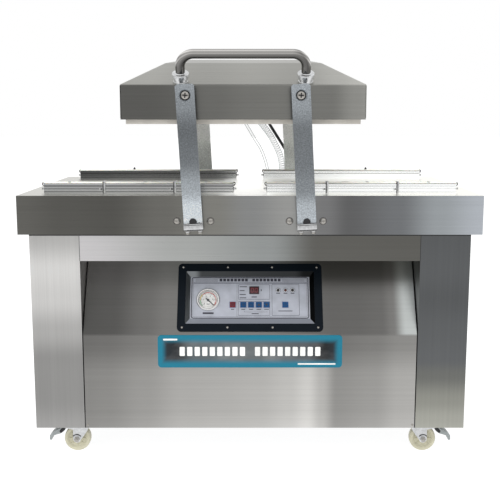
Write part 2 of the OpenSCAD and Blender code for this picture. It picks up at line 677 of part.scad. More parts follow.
// A swivelling fork with its kingpin and two legs, and the axle with its nuts.
module fork(c, has_brake) color(zinc) on_caster(c) {
    translate([0, 0, crown_z]) {
        cylinder(r = 24, h = floor_z - 6 - free_gap - crown_z);
        cylinder(r = 6, h = floor_z - crown_z - free_gap);
    }
    span([-20, -leg_y - leg_t / 2, crown_z - 2], [trail + 11, leg_y + leg_t / 2, crown_z]);
    difference() {
        for (e = sides) slab_y(e * leg_y - leg_t / 2, e * leg_y + leg_t / 2) {
            polygon([[-20, crown_z], [-10, crown_z - 22], [trail - 10, wheel_dia / 2 - 4],
                     [trail + 10, wheel_dia / 2 - 4], [trail + 11, wheel_dia / 2], [trail + 11, crown_z]]);
            translate([trail, wheel_dia / 2]) circle(11);
            if (has_brake) polygon([[trail + 10, brake_z], [pedal_at[0] + 6, brake_z],
                                    [pedal_at[0] + 6, pedal_at[1] - 6], [trail + 10, pedal_at[1] - 12]]);
        }
        translate([trail, 0, wheel_dia / 2]) rod_y(axle_r + run_gap, -30, 30);
        translate([pedal_at[0], 0, pedal_at[1]]) rod_y(pedal_pin_r + run_gap, -30, 30);
    }
    translate([trail, 0, wheel_dia / 2]) {
        rod_y(axle_r, -24, 24);
        for (e = sides) translate([0, e > 0 ? leg_y + leg_t / 2 : -leg_y - leg_t / 2 - 5, 0])
            rotate([-90, 0, 0]) cylinder(r = 8, h = 5, $fn = 6);
    }
    if (has_brake) translate([pedal_at[0], 0, pedal_at[1]]) rod_y(pedal_pin_r, -20, 20);
}

module wheel(c) color(ivory) on_caster(c) translate([trail, 0, wheel_dia / 2]) rotate([90, 0, 0])
    difference() {
        rotate_extrude() polygon([
            [0, -14], [11, -14], [13, -9], [25, -9], [28, -12.5], [wheel_dia / 2 - 2, -12.5],
            [wheel_dia / 2, -10.5], [wheel_dia / 2, 10.5], [wheel_dia / 2 - 2, 12.5], [28, 12.5],
            [25, 9], [13, 9], [11, 14], [0, 14]]);
        translate([0, 0, -20]) cylinder(r = axle_r + run_gap, h = 40);
    }

// A foot pedal that tips on the fork's pin and brings its shoe to the wheel.
module brake_pedal(c) color([0.45, 0.47, 0.48]) on_caster(c) difference() {
    slab_y(-leg_y + leg_t, leg_y - leg_t) polygon([
        [44.5, 79], [47, brake_z], [57, 81], [64, 73], [70, 66.5], [80, 62], [91, 56.5], [99, 46.5],
        [99.5, 34], [94, 33], [92, 42], [86, 47], [77, 50], [68, 52.5], [61, 57], [55.5, 62],
        [53, 67], [49, 67.5], [45, 74]]);
    translate([pedal_at[0], 0, pedal_at[1]]) rod_y(pedal_pin_r + run_gap, -30, 30);
}

module fork_front_left() fork(corners[0], true);
module fork_front_right() fork(corners[1], true);
module fork_rear_left() fork(corners[2], false);
module fork_rear_right() fork(corners[3], false);
module wheel_front_left() wheel(corners[0]);
module wheel_front_right() wheel(corners[1]);
module wheel_rear_left() wheel(corners[2]);
module wheel_rear_right() wheel(corners[3]);
module brake_pedal_left() brake_pedal(corners[0]);
module brake_pedal_right() brake_pedal(corners[1]);
module side_panel_left() side_panel(-1);
module side_panel_right() side_panel(1);

table_top();
chassis();
side_panel_left();
side_panel_right();
front_rail();
front_panel();
rear_panel();
caster_plates();
bearing_housings();
fasteners();
seal_bars();
silicone_strips();
bezel();
control_tray();
membrane_panel();
gauge_case();
panel_lenses();
name_plate();
vacuum_pump();
pump_motor();
transformer();
valve_block();
rear_fittings();
balance_springs();
hose_thin();
hose_thick();
lid_cable();
shaft_left();
arm_front_left();
arm_rear_left();
clamps_left();
shaft_right();
arm_front_right();
arm_rear_right();
clamps_right();
lid_shell();
lid_frame();
lid_gasket();
handle();
pivot_bolts();
lid_fittings();
heat_bar_front();
heat_bar_rear();
fork_front_left();
fork_front_right();
fork_rear_left();
fork_rear_right();
wheel_front_left();
wheel_front_right();
wheel_rear_left();
wheel_rear_right();
brake_pedal_left();
brake_pedal_right();
key_stop();
key_vacuum();
key_seal();
key_up();
key_down();
key_power();
gauge_needle();
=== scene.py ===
"""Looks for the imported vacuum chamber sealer: materials, finer meshes, hoses, light and camera."""
import json
import math

import bmesh
import bpy
from mathutils import Matrix, Vector


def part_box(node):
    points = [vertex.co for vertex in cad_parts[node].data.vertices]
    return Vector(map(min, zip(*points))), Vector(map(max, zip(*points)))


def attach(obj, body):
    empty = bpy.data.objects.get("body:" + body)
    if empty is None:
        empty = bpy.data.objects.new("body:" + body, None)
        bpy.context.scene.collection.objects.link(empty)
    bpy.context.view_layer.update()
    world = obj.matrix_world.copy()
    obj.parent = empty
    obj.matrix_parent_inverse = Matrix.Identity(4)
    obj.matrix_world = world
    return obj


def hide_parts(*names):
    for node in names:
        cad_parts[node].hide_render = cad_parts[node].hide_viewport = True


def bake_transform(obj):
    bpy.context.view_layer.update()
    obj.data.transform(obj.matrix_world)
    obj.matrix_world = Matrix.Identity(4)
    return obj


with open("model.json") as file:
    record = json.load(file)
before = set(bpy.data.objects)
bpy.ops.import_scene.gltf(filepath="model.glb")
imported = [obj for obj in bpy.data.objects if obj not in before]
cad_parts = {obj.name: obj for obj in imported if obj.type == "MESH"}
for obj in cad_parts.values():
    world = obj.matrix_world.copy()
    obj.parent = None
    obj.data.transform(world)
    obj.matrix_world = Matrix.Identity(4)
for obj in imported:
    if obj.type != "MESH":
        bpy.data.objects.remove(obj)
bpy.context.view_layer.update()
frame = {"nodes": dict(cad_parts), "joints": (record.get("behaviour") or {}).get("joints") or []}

MM = 0.001
X, Y, Z = Vector((1, 0, 0)), Vector((0, 1, 0)), Vector((0, 0, 1))
SIDES = ("left", "right")
CORNERS = [(s, e) for s in (-1, 1) for e in (-1, 1)]
SHAFT_ENDS = [(side, e) for side in SIDES for e in (-1, 1)]
KEYS = ("key_stop", "key_vacuum", "key_seal", "key_up", "key_down", "key_power")

# ---------- places, taken from the frame ----------

JOINTS = {j["name"]: j for j in frame["joints"]}
table_lo, table_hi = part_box("table_top")
lid_lo, lid_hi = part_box("lid_shell")
panel_lo, panel_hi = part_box("front_panel")
rail_lo, rail_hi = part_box("front_rail")
rear_lo, rear_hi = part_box("rear_panel")
plate_lo, plate_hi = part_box("name_plate")
pod_lo, pod_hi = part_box("bezel")
side_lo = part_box("side_panel_left")[0]
LID = Vector(((lid_lo.x + lid_hi.x) / 2, 0, lid_lo.z))
BODY_FRONT = side_lo.y
SHAFT = {"right": Vector(JOINTS["lid_swing"]["pos_m"]), "left": Vector(JOINTS["left_swing"]["pos_m"])}
ARM = Vector(JOINTS["lid_level"]["pos_m"]) - SHAFT["right"]       # from a shaft to its upper pivot
ARM_TILT = math.atan2(ARM.x, ARM.z)
ARM_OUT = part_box("arm_rear_right")[1].y
POD_NORMAL = Vector(JOINTS["needle_turn"]["axis"])


def frame_of(origin, x_axis, z_axis):
    """A matrix that puts a piece's own x and z along two directions, at a point."""
    m = Matrix((x_axis, z_axis.cross(x_axis), z_axis)).transposed().to_4x4()
    m.translation = origin
    return m


def at(x, y, z):
    """A move, in mm."""
    return Matrix.Translation((x * MM, y * MM, z * MM))


def about(axis, degrees):
    return Matrix.Rotation(math.radians(degrees), 4, axis)


POD_FACE = frame_of((pod_lo + pod_hi) / 2 - POD_NORMAL * 2 * MM, X, POD_NORMAL)   # on the panel's skin
PANEL_TOP = -12                                                  # mm to the printed panel, below that skin
PANEL = POD_FACE @ at(0, 0, PANEL_TOP)
GAUGE_FACE = POD_FACE @ at(-119, -3, 0)
KEY_ROW = -18
BEVEL_Z, BEVEL_RISE, BEVEL_RUN = 91, 61, 110                     # the lid's lower slope, in mm
BEVEL_TILT = math.atan2(BEVEL_RISE, BEVEL_RUN)
BEVEL_NORMAL = Vector((0, -math.sin(BEVEL_TILT), math.cos(BEVEL_TILT)))
BEVEL = frame_of(LID + Vector((0, lid_lo.y, BEVEL_Z * MM)), X, BEVEL_NORMAL)
FACING = frame_of((0, 0, 0), X, -Y)                      # x across, y up, z towards the operator


def arm_frame(side):
    """An arm pair's shaft, with x across the arm, y to the rear and z up along the arm."""
    return Matrix.Translation(SHAFT[side]) @ Matrix.Rotation(ARM_TILT, 4, "Y")


def out_from(spot, e):
    """A face that looks to the front for e -1 or to the rear for e 1, with x across it."""
    return frame_of(spot, -e * X, e * Y)


# ---------- node helpers ----------


def add_node(tree, kind, inputs=None, **settings):
    """A shader node with its settings; an input is a value or another node's socket."""
    node = tree.nodes.new("ShaderNode" + kind)
    for key, value in settings.items():
        setattr(node, key, value)
    for key, value in (inputs or {}).items():
        if isinstance(value, bpy.types.NodeSocket):
            tree.links.new(value, node.inputs[key])
        else:
            node.inputs[key].default_value = value
    return node


def maths(tree, operation, a, b=0.0):
    return add_node(tree, "Math", {0: a, 1: b}, operation=operation).outputs[0]


def weighed(tree, offset, *parts):
    """The sum of an offset and some values, each times its weight."""
    terms = [maths(tree, "MULTIPLY", value, weight) for value, weight in parts]
    total = terms[0]
    for term in terms[1:]:
        total = maths(tree, "ADD", total, term)
    return maths(tree, "ADD", total, offset)


def socket_of(shader, key):
    return shader.inputs[key.replace("_", " ").title().replace("Ior", "IOR")]


def new_material(name, color=(0.5, 0.5, 0.5), metallic=0.0, roughness=0.5, **more):
    """A material with its constants on the shader's own sockets, and its node tree."""
    mat = bpy.data.materials.new(name)
    mat.use_nodes = True
    shader = mat.node_tree.nodes["Principled BSDF"]
    for key, value in dict(more, base_color=(*color, 1), metallic=metallic, roughness=roughness).items():
        socket_of(shader, key).default_value = value
    mat.diffuse_color = (*color, 1)
    return mat, mat.node_tree


def feed(tree, **sockets):
    """Links values to the shader's sockets."""
    for key, value in sockets.items():
        tree.links.new(value, socket_of(tree.nodes["Principled BSDF"], key))


def spot_of(tree, kind="Object"):
    return add_node(tree, "TexCoord").outputs[kind]


def one_of(tree, kind, axis):
    """One part of the object's own place or of its normal."""
    return add_node(tree, "SeparateXYZ", {0: spot_of(tree, kind)}).outputs[axis]


def between(tree, value, low, high):
    """From 0 to 1 as a value goes from low to high."""
    return add_node(tree, "MapRange", {0: value, 1: low, 2: high}).outputs[0]


def along(tree, axis, low, high):
    """From 0 to 1 between two places on one of the frame's axes, in metres."""
    return between(tree, one_of(tree, "Object", axis), low, high)


def place_noise(tree, scale, detail=3.0):
    """Noise over the object's own metres, with a scale for each axis or one for all."""
    scale = scale if hasattr(scale, "__len__") else (scale,) * 3
    spread = add_node(tree, "Mapping", {"Vector": spot_of(tree), "Scale": scale}).outputs[0]
    return add_node(tree, "TexNoise", {"Vector": spread, "Scale": 1.0, "Detail": detail}).outputs["Fac"]


def ramp(tree, value, stops, smooth=False):
    """A colour ramp; each stop is a place from 0 to 1 and a grey or a colour."""
    node = add_node(tree, "ValToRGB", {"Fac": value})
    node.color_ramp.interpolation = "EASE" if smooth else "LINEAR"
    elements = node.color_ramp.elements
    while len(elements) > 1:
        elements.remove(elements[-1])
    for i, (place, tone) in enumerate(stops):
        element = elements[0] if i == 0 else elements.new(place)
        element.position = place
        element.color = (*tone, 1) if hasattr(tone, "__len__") else (tone, tone, tone, 1)
    return node.outputs["Color"]


def mixed(tree, a, b, share, blend="MIX"):
    node = add_node(tree, "Mix", data_type="RGBA", blend_type=blend)
    for key, value in ((0, share), (6, a), (7, b)):
        if isinstance(value, bpy.types.NodeSocket):
            tree.links.new(value, node.inputs[key])
        else:
            node.inputs[key].default_value = value if key == 0 else (*value, 1)
    return node.outputs[2]


def tinted(tree, tone, color):
    return mixed(tree, tone, color, 1.0, "MULTIPLY")


def scaled(tree, tone, factor):
    return add_node(tree, "VectorMath", {0: tone, 3: factor}, operation="SCALE").outputs[0]


def two_tone(tree, value, color, low, high):
    """A ramp from a darker to a lighter shade of a colour."""
    dark, light = (tuple(min(1, c * factor) for c in color) for factor in (low, high))
    return ramp(tree, value, [(0.3, dark), (0.7, light)])


def uneven(tree, value, spread, middle):
    """A value from 0 to 1, turned into a roughness round a middle."""
    return weighed(tree, middle - spread / 2, (value, spread))


def bumped(tree, height, strength, distance):
    node = add_node(tree, "Bump", {"Height": height, "Strength": strength, "Distance": distance})
    feed(tree, normal=node.outputs[0])


# ---------- materials ----------


def brushed_steel(name, tone, reach, axis="X", color=(1.0, 0.985, 0.905), roughness=0.30, upright=False,
        grit=1.0, level=None, upper=None, painted_light_by_height=None, painted_reflection=None):
    """Brushed stainless sheet, its strokes level or upright. tone gives stops of brightness along an axis
    over reach, painted light and shade. Level faces and the faces over a height may have stops of
    their own, also painted light and shade; fade gives factors of painted light and shade along a span
    of height, and glow, an emission on the faces that look up, is a painted reflection of a bright wall."""
    mat, tree = new_material(name, color, 1.0, roughness, emission_strength=1.0 if painted_reflection else 0.0)
    strokes = (1100, 1100, 5) if upright else (4, 4, 1100)
    fine = place_noise(tree, strokes, 4.0)
    broad = place_noise(tree, tuple(s / 7 for s in strokes), 2.0)
    up = one_of(tree, "Normal", "Z")
    is_level = maths(tree, "GREATER_THAN", maths(tree, "ABSOLUTE", up), 0.9)
    if not upright:
        fine = mixed(tree, fine, place_noise(tree, (4, 1100, 4), 4.0), is_level)
    cloud = place_noise(tree, (3.2, 3.2, 4.5), 2.0)
    shade = weighed(tree, 0.79 - 0.15 * (grit - 1), (fine, 0.16 * grit), (broad, 0.14 * grit), (cloud, 0.12))
    # Painted light and shade: factors along a span of height.
    if painted_light_by_height:
        shade = maths(tree, "MULTIPLY", shade, ramp(tree, along(tree, "Z", *painted_light_by_height[0]), painted_light_by_height[1], smooth=True))
    # Painted light and shade: stops of brightness along an axis, with stops of their own on level faces and
    # on the faces over a height.
    place = along(tree, axis, *reach)
    tones = ramp(tree, place, tone, smooth=True)
    if upper:
        tones = mixed(tree, tones, ramp(tree, place, upper[0], smooth=True), along(tree, "Z", *upper[1:]))
    if level:
        tones = mixed(tree, tones, ramp(tree, place, level, smooth=True), is_level)
    feed(tree, base_color=scaled(tree, tinted(tree, tones, color), shade),
        roughness=uneven(tree, fine, 0.14, roughness))
    bumped(tree, fine, 0.06 * grit, 0.0004)
    # Painted reflection: an emission on the faces that look up.
    if painted_reflection:
        looks_up = maths(tree, "GREATER_THAN", up, 0.8)
        lift = ramp(tree, place, painted_reflection, smooth=True)
        feed(tree, emission_color=mixed(tree, (0.0, 0.0, 0.0), lift, looks_up))
    return mat


def extruded(name, tone, reach, painted_reflection):
    """Drawn aluminium with fine die lines along x; tone gives stops of painted light and shade along x, and
    glow, an emission, is a painted reflection of a bright wall.
    """
    mat, tree = new_material(name, (0.7, 0.71, 0.72), 1.0, 0.26, emission_strength=1.0)
    lines = place_noise(tree, (1.5, 500, 500), 3.0)
    place = along(tree, "X", *reach)
    tones = tinted(tree, ramp(tree, place, tone, smooth=True), (0.985, 1.0, 1.0))
    feed(tree, base_color=scaled(tree, tones, weighed(tree, 0.90, (lines, 0.16))),
        roughness=uneven(tree, lines, 0.16, 0.25), emission_color=ramp(tree, place, painted_reflection, smooth=True))
    bumped(tree, lines, 0.05, 0.0004)
    return mat


def plain_metal(name, color, roughness=0.25, speck=0.05, size=90.0):
    """Plated or polished metal with fine unevenness."""
    mat, tree = new_material(name, color, 1.0, roughness)
    cloud = place_noise(tree, size, 5.0)
    feed(tree, base_color=two_tone(tree, cloud, color, 1 - 2 * speck, 1 + 2 * speck),
        roughness=uneven(tree, cloud, 0.18, roughness))
    bumped(tree, place_noise(tree, size * 4), 0.05, 0.0003)
    return mat


def moulded(name, color, roughness=0.45, grain=0.15, size=900.0, **more):
    """Moulded plastic or rubber with a fine skin."""
    mat, tree = new_material(name, color, 0.0, roughness, **more)
    cloud = place_noise(tree, 30)
    feed(tree, base_color=two_tone(tree, cloud, color, 0.88, 1.1),
        roughness=uneven(tree, cloud, 0.12, roughness))
    bumped(tree, place_noise(tree, size, 2.0), grain, 0.0002)
    return mat


def printed(name, color):
    """Printed ink with slight unevenness."""
    return moulded(name, color, 0.35, 0.03, 1500.0)


def chrome_with_painted_reflections(name, color, roughness):
    """A polished tube with a painted reflection: bands of bright and dark room, by how its surface turns,
    painted into its colour.
    """
    mat, tree = new_material(name, color, 1.0, roughness)
    painted_bands = ramp(tree, between(tree, one_of(tree, "Normal", "Z"), -1.0, 1.0),
        [(0, 0.10), (0.25, 0.15), (0.42, 0.30), (0.48, 0.80), (0.53, 0.80), (0.60, 0.38), (0.70, 0.42),
        (0.80, 1.0), (0.89, 0.62), (1, 0.30)])
    # Painted reflection as well: lighter and darker bands by how the surface turns sideways.
    sides = ramp(tree, between(tree, one_of(tree, "Normal", "X"), -1.0, 1.0),
        [(0, 0.35), (0.2, 0.9), (0.35, 1.0), (0.5, 0.85), (0.68, 0.45), (0.85, 0.9), (1, 0.4)])
    feed(tree, base_color=scaled(tree, tinted(tree, tinted(tree, painted_bands, sides), color), 1.25))
    bumped(tree, place_noise(tree, 200), 0.03, 0.0003)
    return mat


def hammered_bar(name, stops, tint):
    """The arms: satin plate with small hammered dimples; its brightness along its height is given by stops of
    painted light and shade.
    """
    mat, tree = new_material(name, tint, 1.0, 0.36)
    cells = add_node(tree, "TexVoronoi", {"Vector": spot_of(tree), "Scale": 330.0}).outputs["Distance"]
    tone = tinted(tree, ramp(tree, along(tree, "Z", *ARM_SPAN), stops, smooth=True), tint)
    shade = weighed(tree, 0.30, (place_noise(tree, 260), 1.0), (cells, 0.55))
    feed(tree, base_color=scaled(tree, tone, shade), roughness=weighed(tree, 0.28, (cells, 0.25)))
    bumped(tree, cells, 0.8, 0.0012)
    return mat


def clear_tube(name, rim):
    """Soft clear hose: it lets the light through up to rim, and its edges beyond that look dark."""
    mat, tree = new_material(name, (0.50, 0.60, 0.58), 0.0, 0.15, coat_weight=0.3)
    facing = add_node(tree, "LayerWeight", {"Blend": 0.5}).outputs["Facing"]
    cloud = maths(tree, "MULTIPLY", place_noise(tree, (40, 40, 25), 2.0), 0.12)
    feed(tree, base_color=ramp(tree, facing, [(rim - 0.3, (0.66, 0.76, 0.74)), (rim, (0.30, 0.38, 0.37)),
        (rim + 0.15, (0.03, 0.05, 0.05))]), alpha=ramp(tree, maths(tree, "ADD", facing, cloud),
        [(0, 0.05), (rim - 0.15, 0.12), (rim + 0.05, 0.7), (rim + 0.15, 1.0)]))
    return mat


def plate_print():
    """The plate: a teal edge that fades into a dark centre, lighter towards the middle of its length."""
    mat, tree = new_material("plate_print", (0.06, 0.08, 0.09), 0.0, 0.45, specular_ior_level=0.3)
    depths = []
    for axis, middle, half in (("X", 0, plate_hi.x), ("Z", (plate_lo.z + plate_hi.z) / 2,
            (plate_hi.z - plate_lo.z) / 2)):
        off = maths(tree, "ABSOLUTE", maths(tree, "SUBTRACT", one_of(tree, "Object", axis), middle))
        depths.append(maths(tree, "SUBTRACT", half, off))
    inside = between(tree, maths(tree, "MINIMUM", *depths), 8 * MM, 27 * MM)
    centre = ramp(tree, along(tree, "X", plate_lo.x, plate_hi.x), [(0, (0.02, 0.03, 0.04)),
        (0.10, (0.012, 0.015, 0.018)), (0.20, (0.09, 0.11, 0.12)), (0.5, (0.115, 0.13, 0.135)),
        (0.80, (0.08, 0.09, 0.10)), (0.90, (0.010, 0.012, 0.014)), (1, (0.02, 0.03, 0.04))], smooth=True)
    cloud = ramp(tree, place_noise(tree, (14, 14, 22), 3.0), [(0.42, 0.0), (0.75, 0.08)])
    centre = mixed(tree, centre, cloud, 1.0, "ADD")
    eased = ramp(tree, inside, [(0, 0.0), (1, 1.0)], smooth=True)
    feed(tree, base_color=mixed(tree, (0.006, 0.175, 0.265), centre, eased))
    return mat


# The spans that stops of brightness run over, in metres. The stops paint light and shade into the colour, and
# the left and right, front and rear finishes are lit and shaded copies of one finish.
SPAN = (table_lo.x, table_hi.x)
LID_SPAN = (LID.x - 0.33, LID.x + 0.33)
COLUMN_SPAN = (0.08, 0.64)
ARM_SPAN = (0.66, 1.03)
RAIL_SPAN = (-0.47, 0.47)
PANEL_SPAN = (-0.46, 0.46)
MAT = {
    # Painted light and shade: the lid's front and the faces above its lower slope have stops of their own.
    "lid": brushed_steel("lid_steel", [(0, 0.18), (0.12, 0.18), (0.385, 0.247), (0.53, 0.29), (0.65, 0.303),
        (0.85, 0.3), (0.95, 0.45), (1, 0.5)], LID_SPAN, color=(1, 0.995, 0.935),
        upper=([(0, 0.48), (0.12, 0.485), (0.32, 0.414), (0.53, 0.445), (0.73, 0.406), (0.89, 0.537),
        (0.95, 0.6), (1, 0.66)], LID.z + (BEVEL_Z - 1.5) * MM, LID.z + (BEVEL_Z + 1) * MM)),
    # Painted light and shade: the table's level faces get brighter stops of their own and a painted
    # reflection.
    "table": brushed_steel("table_steel", [(0, 0.2), (0.1, 0.16), (0.2, 0.15), (0.31, 0.24), (0.425, 0.34),
        (0.5, (0.385, 0.397, 0.431)), (0.585, (0.49, 0.5, 0.53)), (0.66, (0.295, 0.3, 0.33)),
        (0.713, (0.195, 0.2, 0.22)), (0.82, (0.275, 0.29, 0.33)), (0.905, (0.51, 0.555, 0.632)),
        (1, (0.695, 0.75, 0.88))], SPAN, level=[(0, 0.6), (0.3, 0.85), (0.42, 1), (1, 1)],
        painted_reflection=[(0, 0.02), (0.3, 0.02), (0.42, 0.05), (0.46, 0.34), (0.53, 0.34), (0.57, 0.07), (0.8, 0.09),
        (1, 0.11)]),
    # Painted light and shade: the left column lit and the right one in shade, copies of one steel.
    "column_left": brushed_steel("column_left_steel", [(0, 0.48), (0.15, 0.39), (0.36, 0.4), (0.51, 0.6),
        (0.67, 0.87), (0.82, 0.98), (0.97, 0.7), (1, 0.68)], COLUMN_SPAN, "Z", (1, 0.99, 0.97), 0.34, True),
    "column_right": brushed_steel("column_right_steel", [(0, (0.56, 0.54, 0.47)), (0.05, (0.52, 0.5, 0.435)),
        (0.15, (0.4, 0.385, 0.335)), (0.28, (0.235, 0.23, 0.21)), (0.36, 0.19), (0.51, 0.18), (0.67, 0.16),
        (0.82, 0.185), (1, 0.18)], COLUMN_SPAN, "Z", (0.93, 0.97, 1), 0.34, True),
    # Painted light and shade: the rail lit at the left and in shade at the right.
    "rail": brushed_steel("rail_steel", [(0, (0.885, 0.88, 0.97)), (0.3, (0.605, 0.63, 0.67)),
        (0.55, (0.46, 0.49, 0.53)), (0.7, 0.19), (1, 0.185)], RAIL_SPAN),
    # Painted light and shade: stops across the panel, others on its upper part, and factors along its height.
    "panel": brushed_steel("panel_steel", [(0, 0.33), (0.06, 0.35), (0.18, 0.43), (0.3, 0.54), (0.41, 0.57),
        (0.53, 0.6), (0.62, 0.68), (0.676, 0.8), (0.72, 0.6), (0.764, 0.38), (0.88, 0.44), (0.955, 0.54),
        (1, 0.55)], PANEL_SPAN, "X", (1, 0.985, 0.95), 0.33, upper=([(0, 0.16), (0.08, 0.175), (0.18, 0.27),
        (0.25, 0.34), (0.5, 0.37), (0.7, 0.26), (0.75, 0.24), (0.82, 0.245), (0.9, 0.27), (0.935, 0.36),
        (0.975, (0.92, 0.98, 1)), (1, (0.92, 0.98, 1))], 0.35, 0.357), painted_light_by_height=((0.08, 0.33),
        [(0, 1.15), (0.1, 1.08), (0.22, 1), (0.6, 1), (1, 0.68)])),
    "rear": brushed_steel("rear_steel", [(0, 0.55), (1, 0.62)], SPAN),
    # Painted shade and reflection: the tray darkens towards one side, and its faces that look up get a
    # painted reflection.
    "tray": brushed_steel("tray_steel", [(0, 0.24), (0.372, 0.24), (0.39, 0.066), (0.6, 0.04), (0.625, 0.012),
        (1, 0.01)], SPAN, "X", (0.9, 0.96, 1), 0.3, False, 0.6, painted_reflection=[(0, (0.22, 0.235, 0.27)),
        (1, (0.22, 0.235, 0.27))]),
    # Painted light and shade: the arms are lit and shaded copies of one satin bar.
    "arm_left": hammered_bar("satin_bar_left", [(0, 0.95), (0.14, 0.89), (0.284, 0.52), (0.5, 0.25),
        (0.69, 0.21), (0.89, 0.37), (1, 0.45)], (0.87, 0.94, 1)),
    "arm_right": hammered_bar("satin_bar_right", [(0, 0.7), (0.14, 0.63), (0.28, 0.35), (0.48, 0.265),
        (0.69, 0.26), (0.89, 0.45), (1, 0.5)], (0.87, 0.94, 1)),
    "arm_rear": hammered_bar("satin_bar_rear", [(0, 0.62), (0.3, 0.62), (0.46, 0.64), (0.62, 0.95), (1, 1)],
        (0.97, 1, 0.97)),
    "polished": chrome_with_painted_reflections("polished_tube", (0.86, 0.84, 0.81), 0.14),
    # Painted light and shade: the front and rear bars are lit and shaded copies of one aluminium, with
    # painted reflections.
    "front_bar": extruded("front_bar_aluminium", [(0, 0.6), (0.4, 0.6), (0.55, 0.9), (0.7, 1), (1, 1)], SPAN,
        [(0, 0.06), (0.45, 0.05), (0.56, 0.24), (1, 0.34)]),
    "rear_bar": extruded("rear_bar_aluminium", [(0, 0.22), (0.4, 0.27), (0.5, 0.85), (0.7, 1), (1, 1)], SPAN,
        [(0, 0), (0.45, 0.03), (0.56, 0.25), (1, 0.36)]),
    "silicone": moulded("white_silicone", (0.84, 0.8, 0.72), 0.42, 0.08, 500, subsurface_weight=0.15),
    "groove": extruded("groove_shadow", [(0, 0.08), (0.45, 0.1), (0.55, 0.45), (1, 0.7)], SPAN,
        [(0, 0), (0.5, 0), (0.6, 0.1), (1, 0.16)]),
    "bezel": moulded("black_bezel", (0.003, 0.006, 0.01), 0.46, 0.1, 1200, specular_ior_level=0.1),
    "key_blue": moulded("key_blue", (0.006, 0.066, 0.195), 0.3, 0.03, 1500, specular_ior_level=0.2),
    "key_red": moulded("key_red", (0.15, 0.02, 0.03), 0.3, 0.03, 1500, specular_ior_level=0.2),
    "plate": plate_print(),
    "hose": clear_tube("clear_hose", 0.64),
    "hose_fine": clear_tube("clear_hose_fine", 0.42),
}
for key, *look in (
        ("zinc", "bright_zinc", (0.8, 0.81, 0.82), 0.34, 0.08, 140),
        ("screw", "screw_steel", (0.5, 0.48, 0.45), 0.2, 0.05, 200),
        ("shaft", "shaft_steel", (0.1, 0.1, 0.11), 0.35, 0.1, 150),
        ("spring", "spring_steel", (0.34, 0.35, 0.37), 0.3, 0.08, 200),
        ("aluminium", "profile_aluminium", (0.7, 0.71, 0.73), 0.28, 0.05, 60),
        ("heater", "heater_aluminium", (0.6, 0.58, 0.54), 0.4, 0.05, 90),
        ("wire", "hose_wire", (0.36, 0.39, 0.39), 0.35, 0.1, 300),
        ("gauge", "gauge_steel", (0.8, 0.8, 0.8), 0.12, 0.02, 90),
        ("copper", "winding_copper", (0.6, 0.33, 0.16), 0.38, 0.1, 300)):
    MAT[key] = plain_metal(*look)
for key, *look in (
        ("primer", "welded_steel", (0.24, 0.25, 0.26), 0.55, 0.2, 500),
        ("casting", "cast_housing", (0.2, 0.22, 0.25), 0.5, 0.5, 350),
        ("pump", "pump_paint", (0.14, 0.2, 0.26), 0.38, 0.3, 300),
        ("motor", "motor_paint", (0.1, 0.14, 0.2), 0.36, 0.3, 300),
        ("gasket", "gasket_silicone", (0.57, 0.54, 0.49), 0.45, 0.08, 500),
        ("black", "black_plastic", (0.014, 0.014, 0.016), 0.42, 0.2, 900),
        ("rubber", "cable_rubber", (0.016, 0.016, 0.018), 0.5, 0.2, 900),
        ("nylon", "nylon_wheel", (0.6, 0.575, 0.43), 0.4, 0.1, 300),
        ("pedal", "pedal_grey", (0.34, 0.37, 0.37), 0.4, 0.2, 500)):
    MAT[key] = moulded(*look)
for key, *look in (
        ("membrane", "membrane", (0.42, 0.44, 0.5)),
        ("ink_dark", "ink_dark", (0.03, 0.03, 0.045)),
        ("ink_blue", "ink_blue", (0.16, 0.2, 0.36)),
        ("white_ink", "white_ink", (0.88, 0.88, 0.86)),
        ("dial", "dial_white", (0.86, 0.86, 0.84)),
        ("ink_red", "ink_red", (0.62, 0.05, 0.04)),
        ("ink_green", "ink_green", (0.06, 0.42, 0.14)),
        ("ink_yellow", "ink_yellow", (0.85, 0.6, 0.06))):
    MAT[key] = printed(*look)
MAT["glass"] = new_material("gauge_glass", (1, 1, 1), 0, 0.03, transmission_weight=1, ior=1.25)[0]
MAT["display"] = new_material("display_window", (0.045, 0.009, 0.014), 0, 0.12, coat_weight=0.3)[0]
MAT["lit"] = new_material("lit_segments", (0.2, 0.02, 0.03), 0, 0.4, emission_color=(1, 0.1, 0.1, 1),
    emission_strength=0.07)[0]
MAT["lamp_red"] = new_material("lamp_red", (0.07, 0.008, 0.01), 0, 0.15, coat_weight=0.6)[0]


# ---------- building pieces; their shapes are given in mm ----------


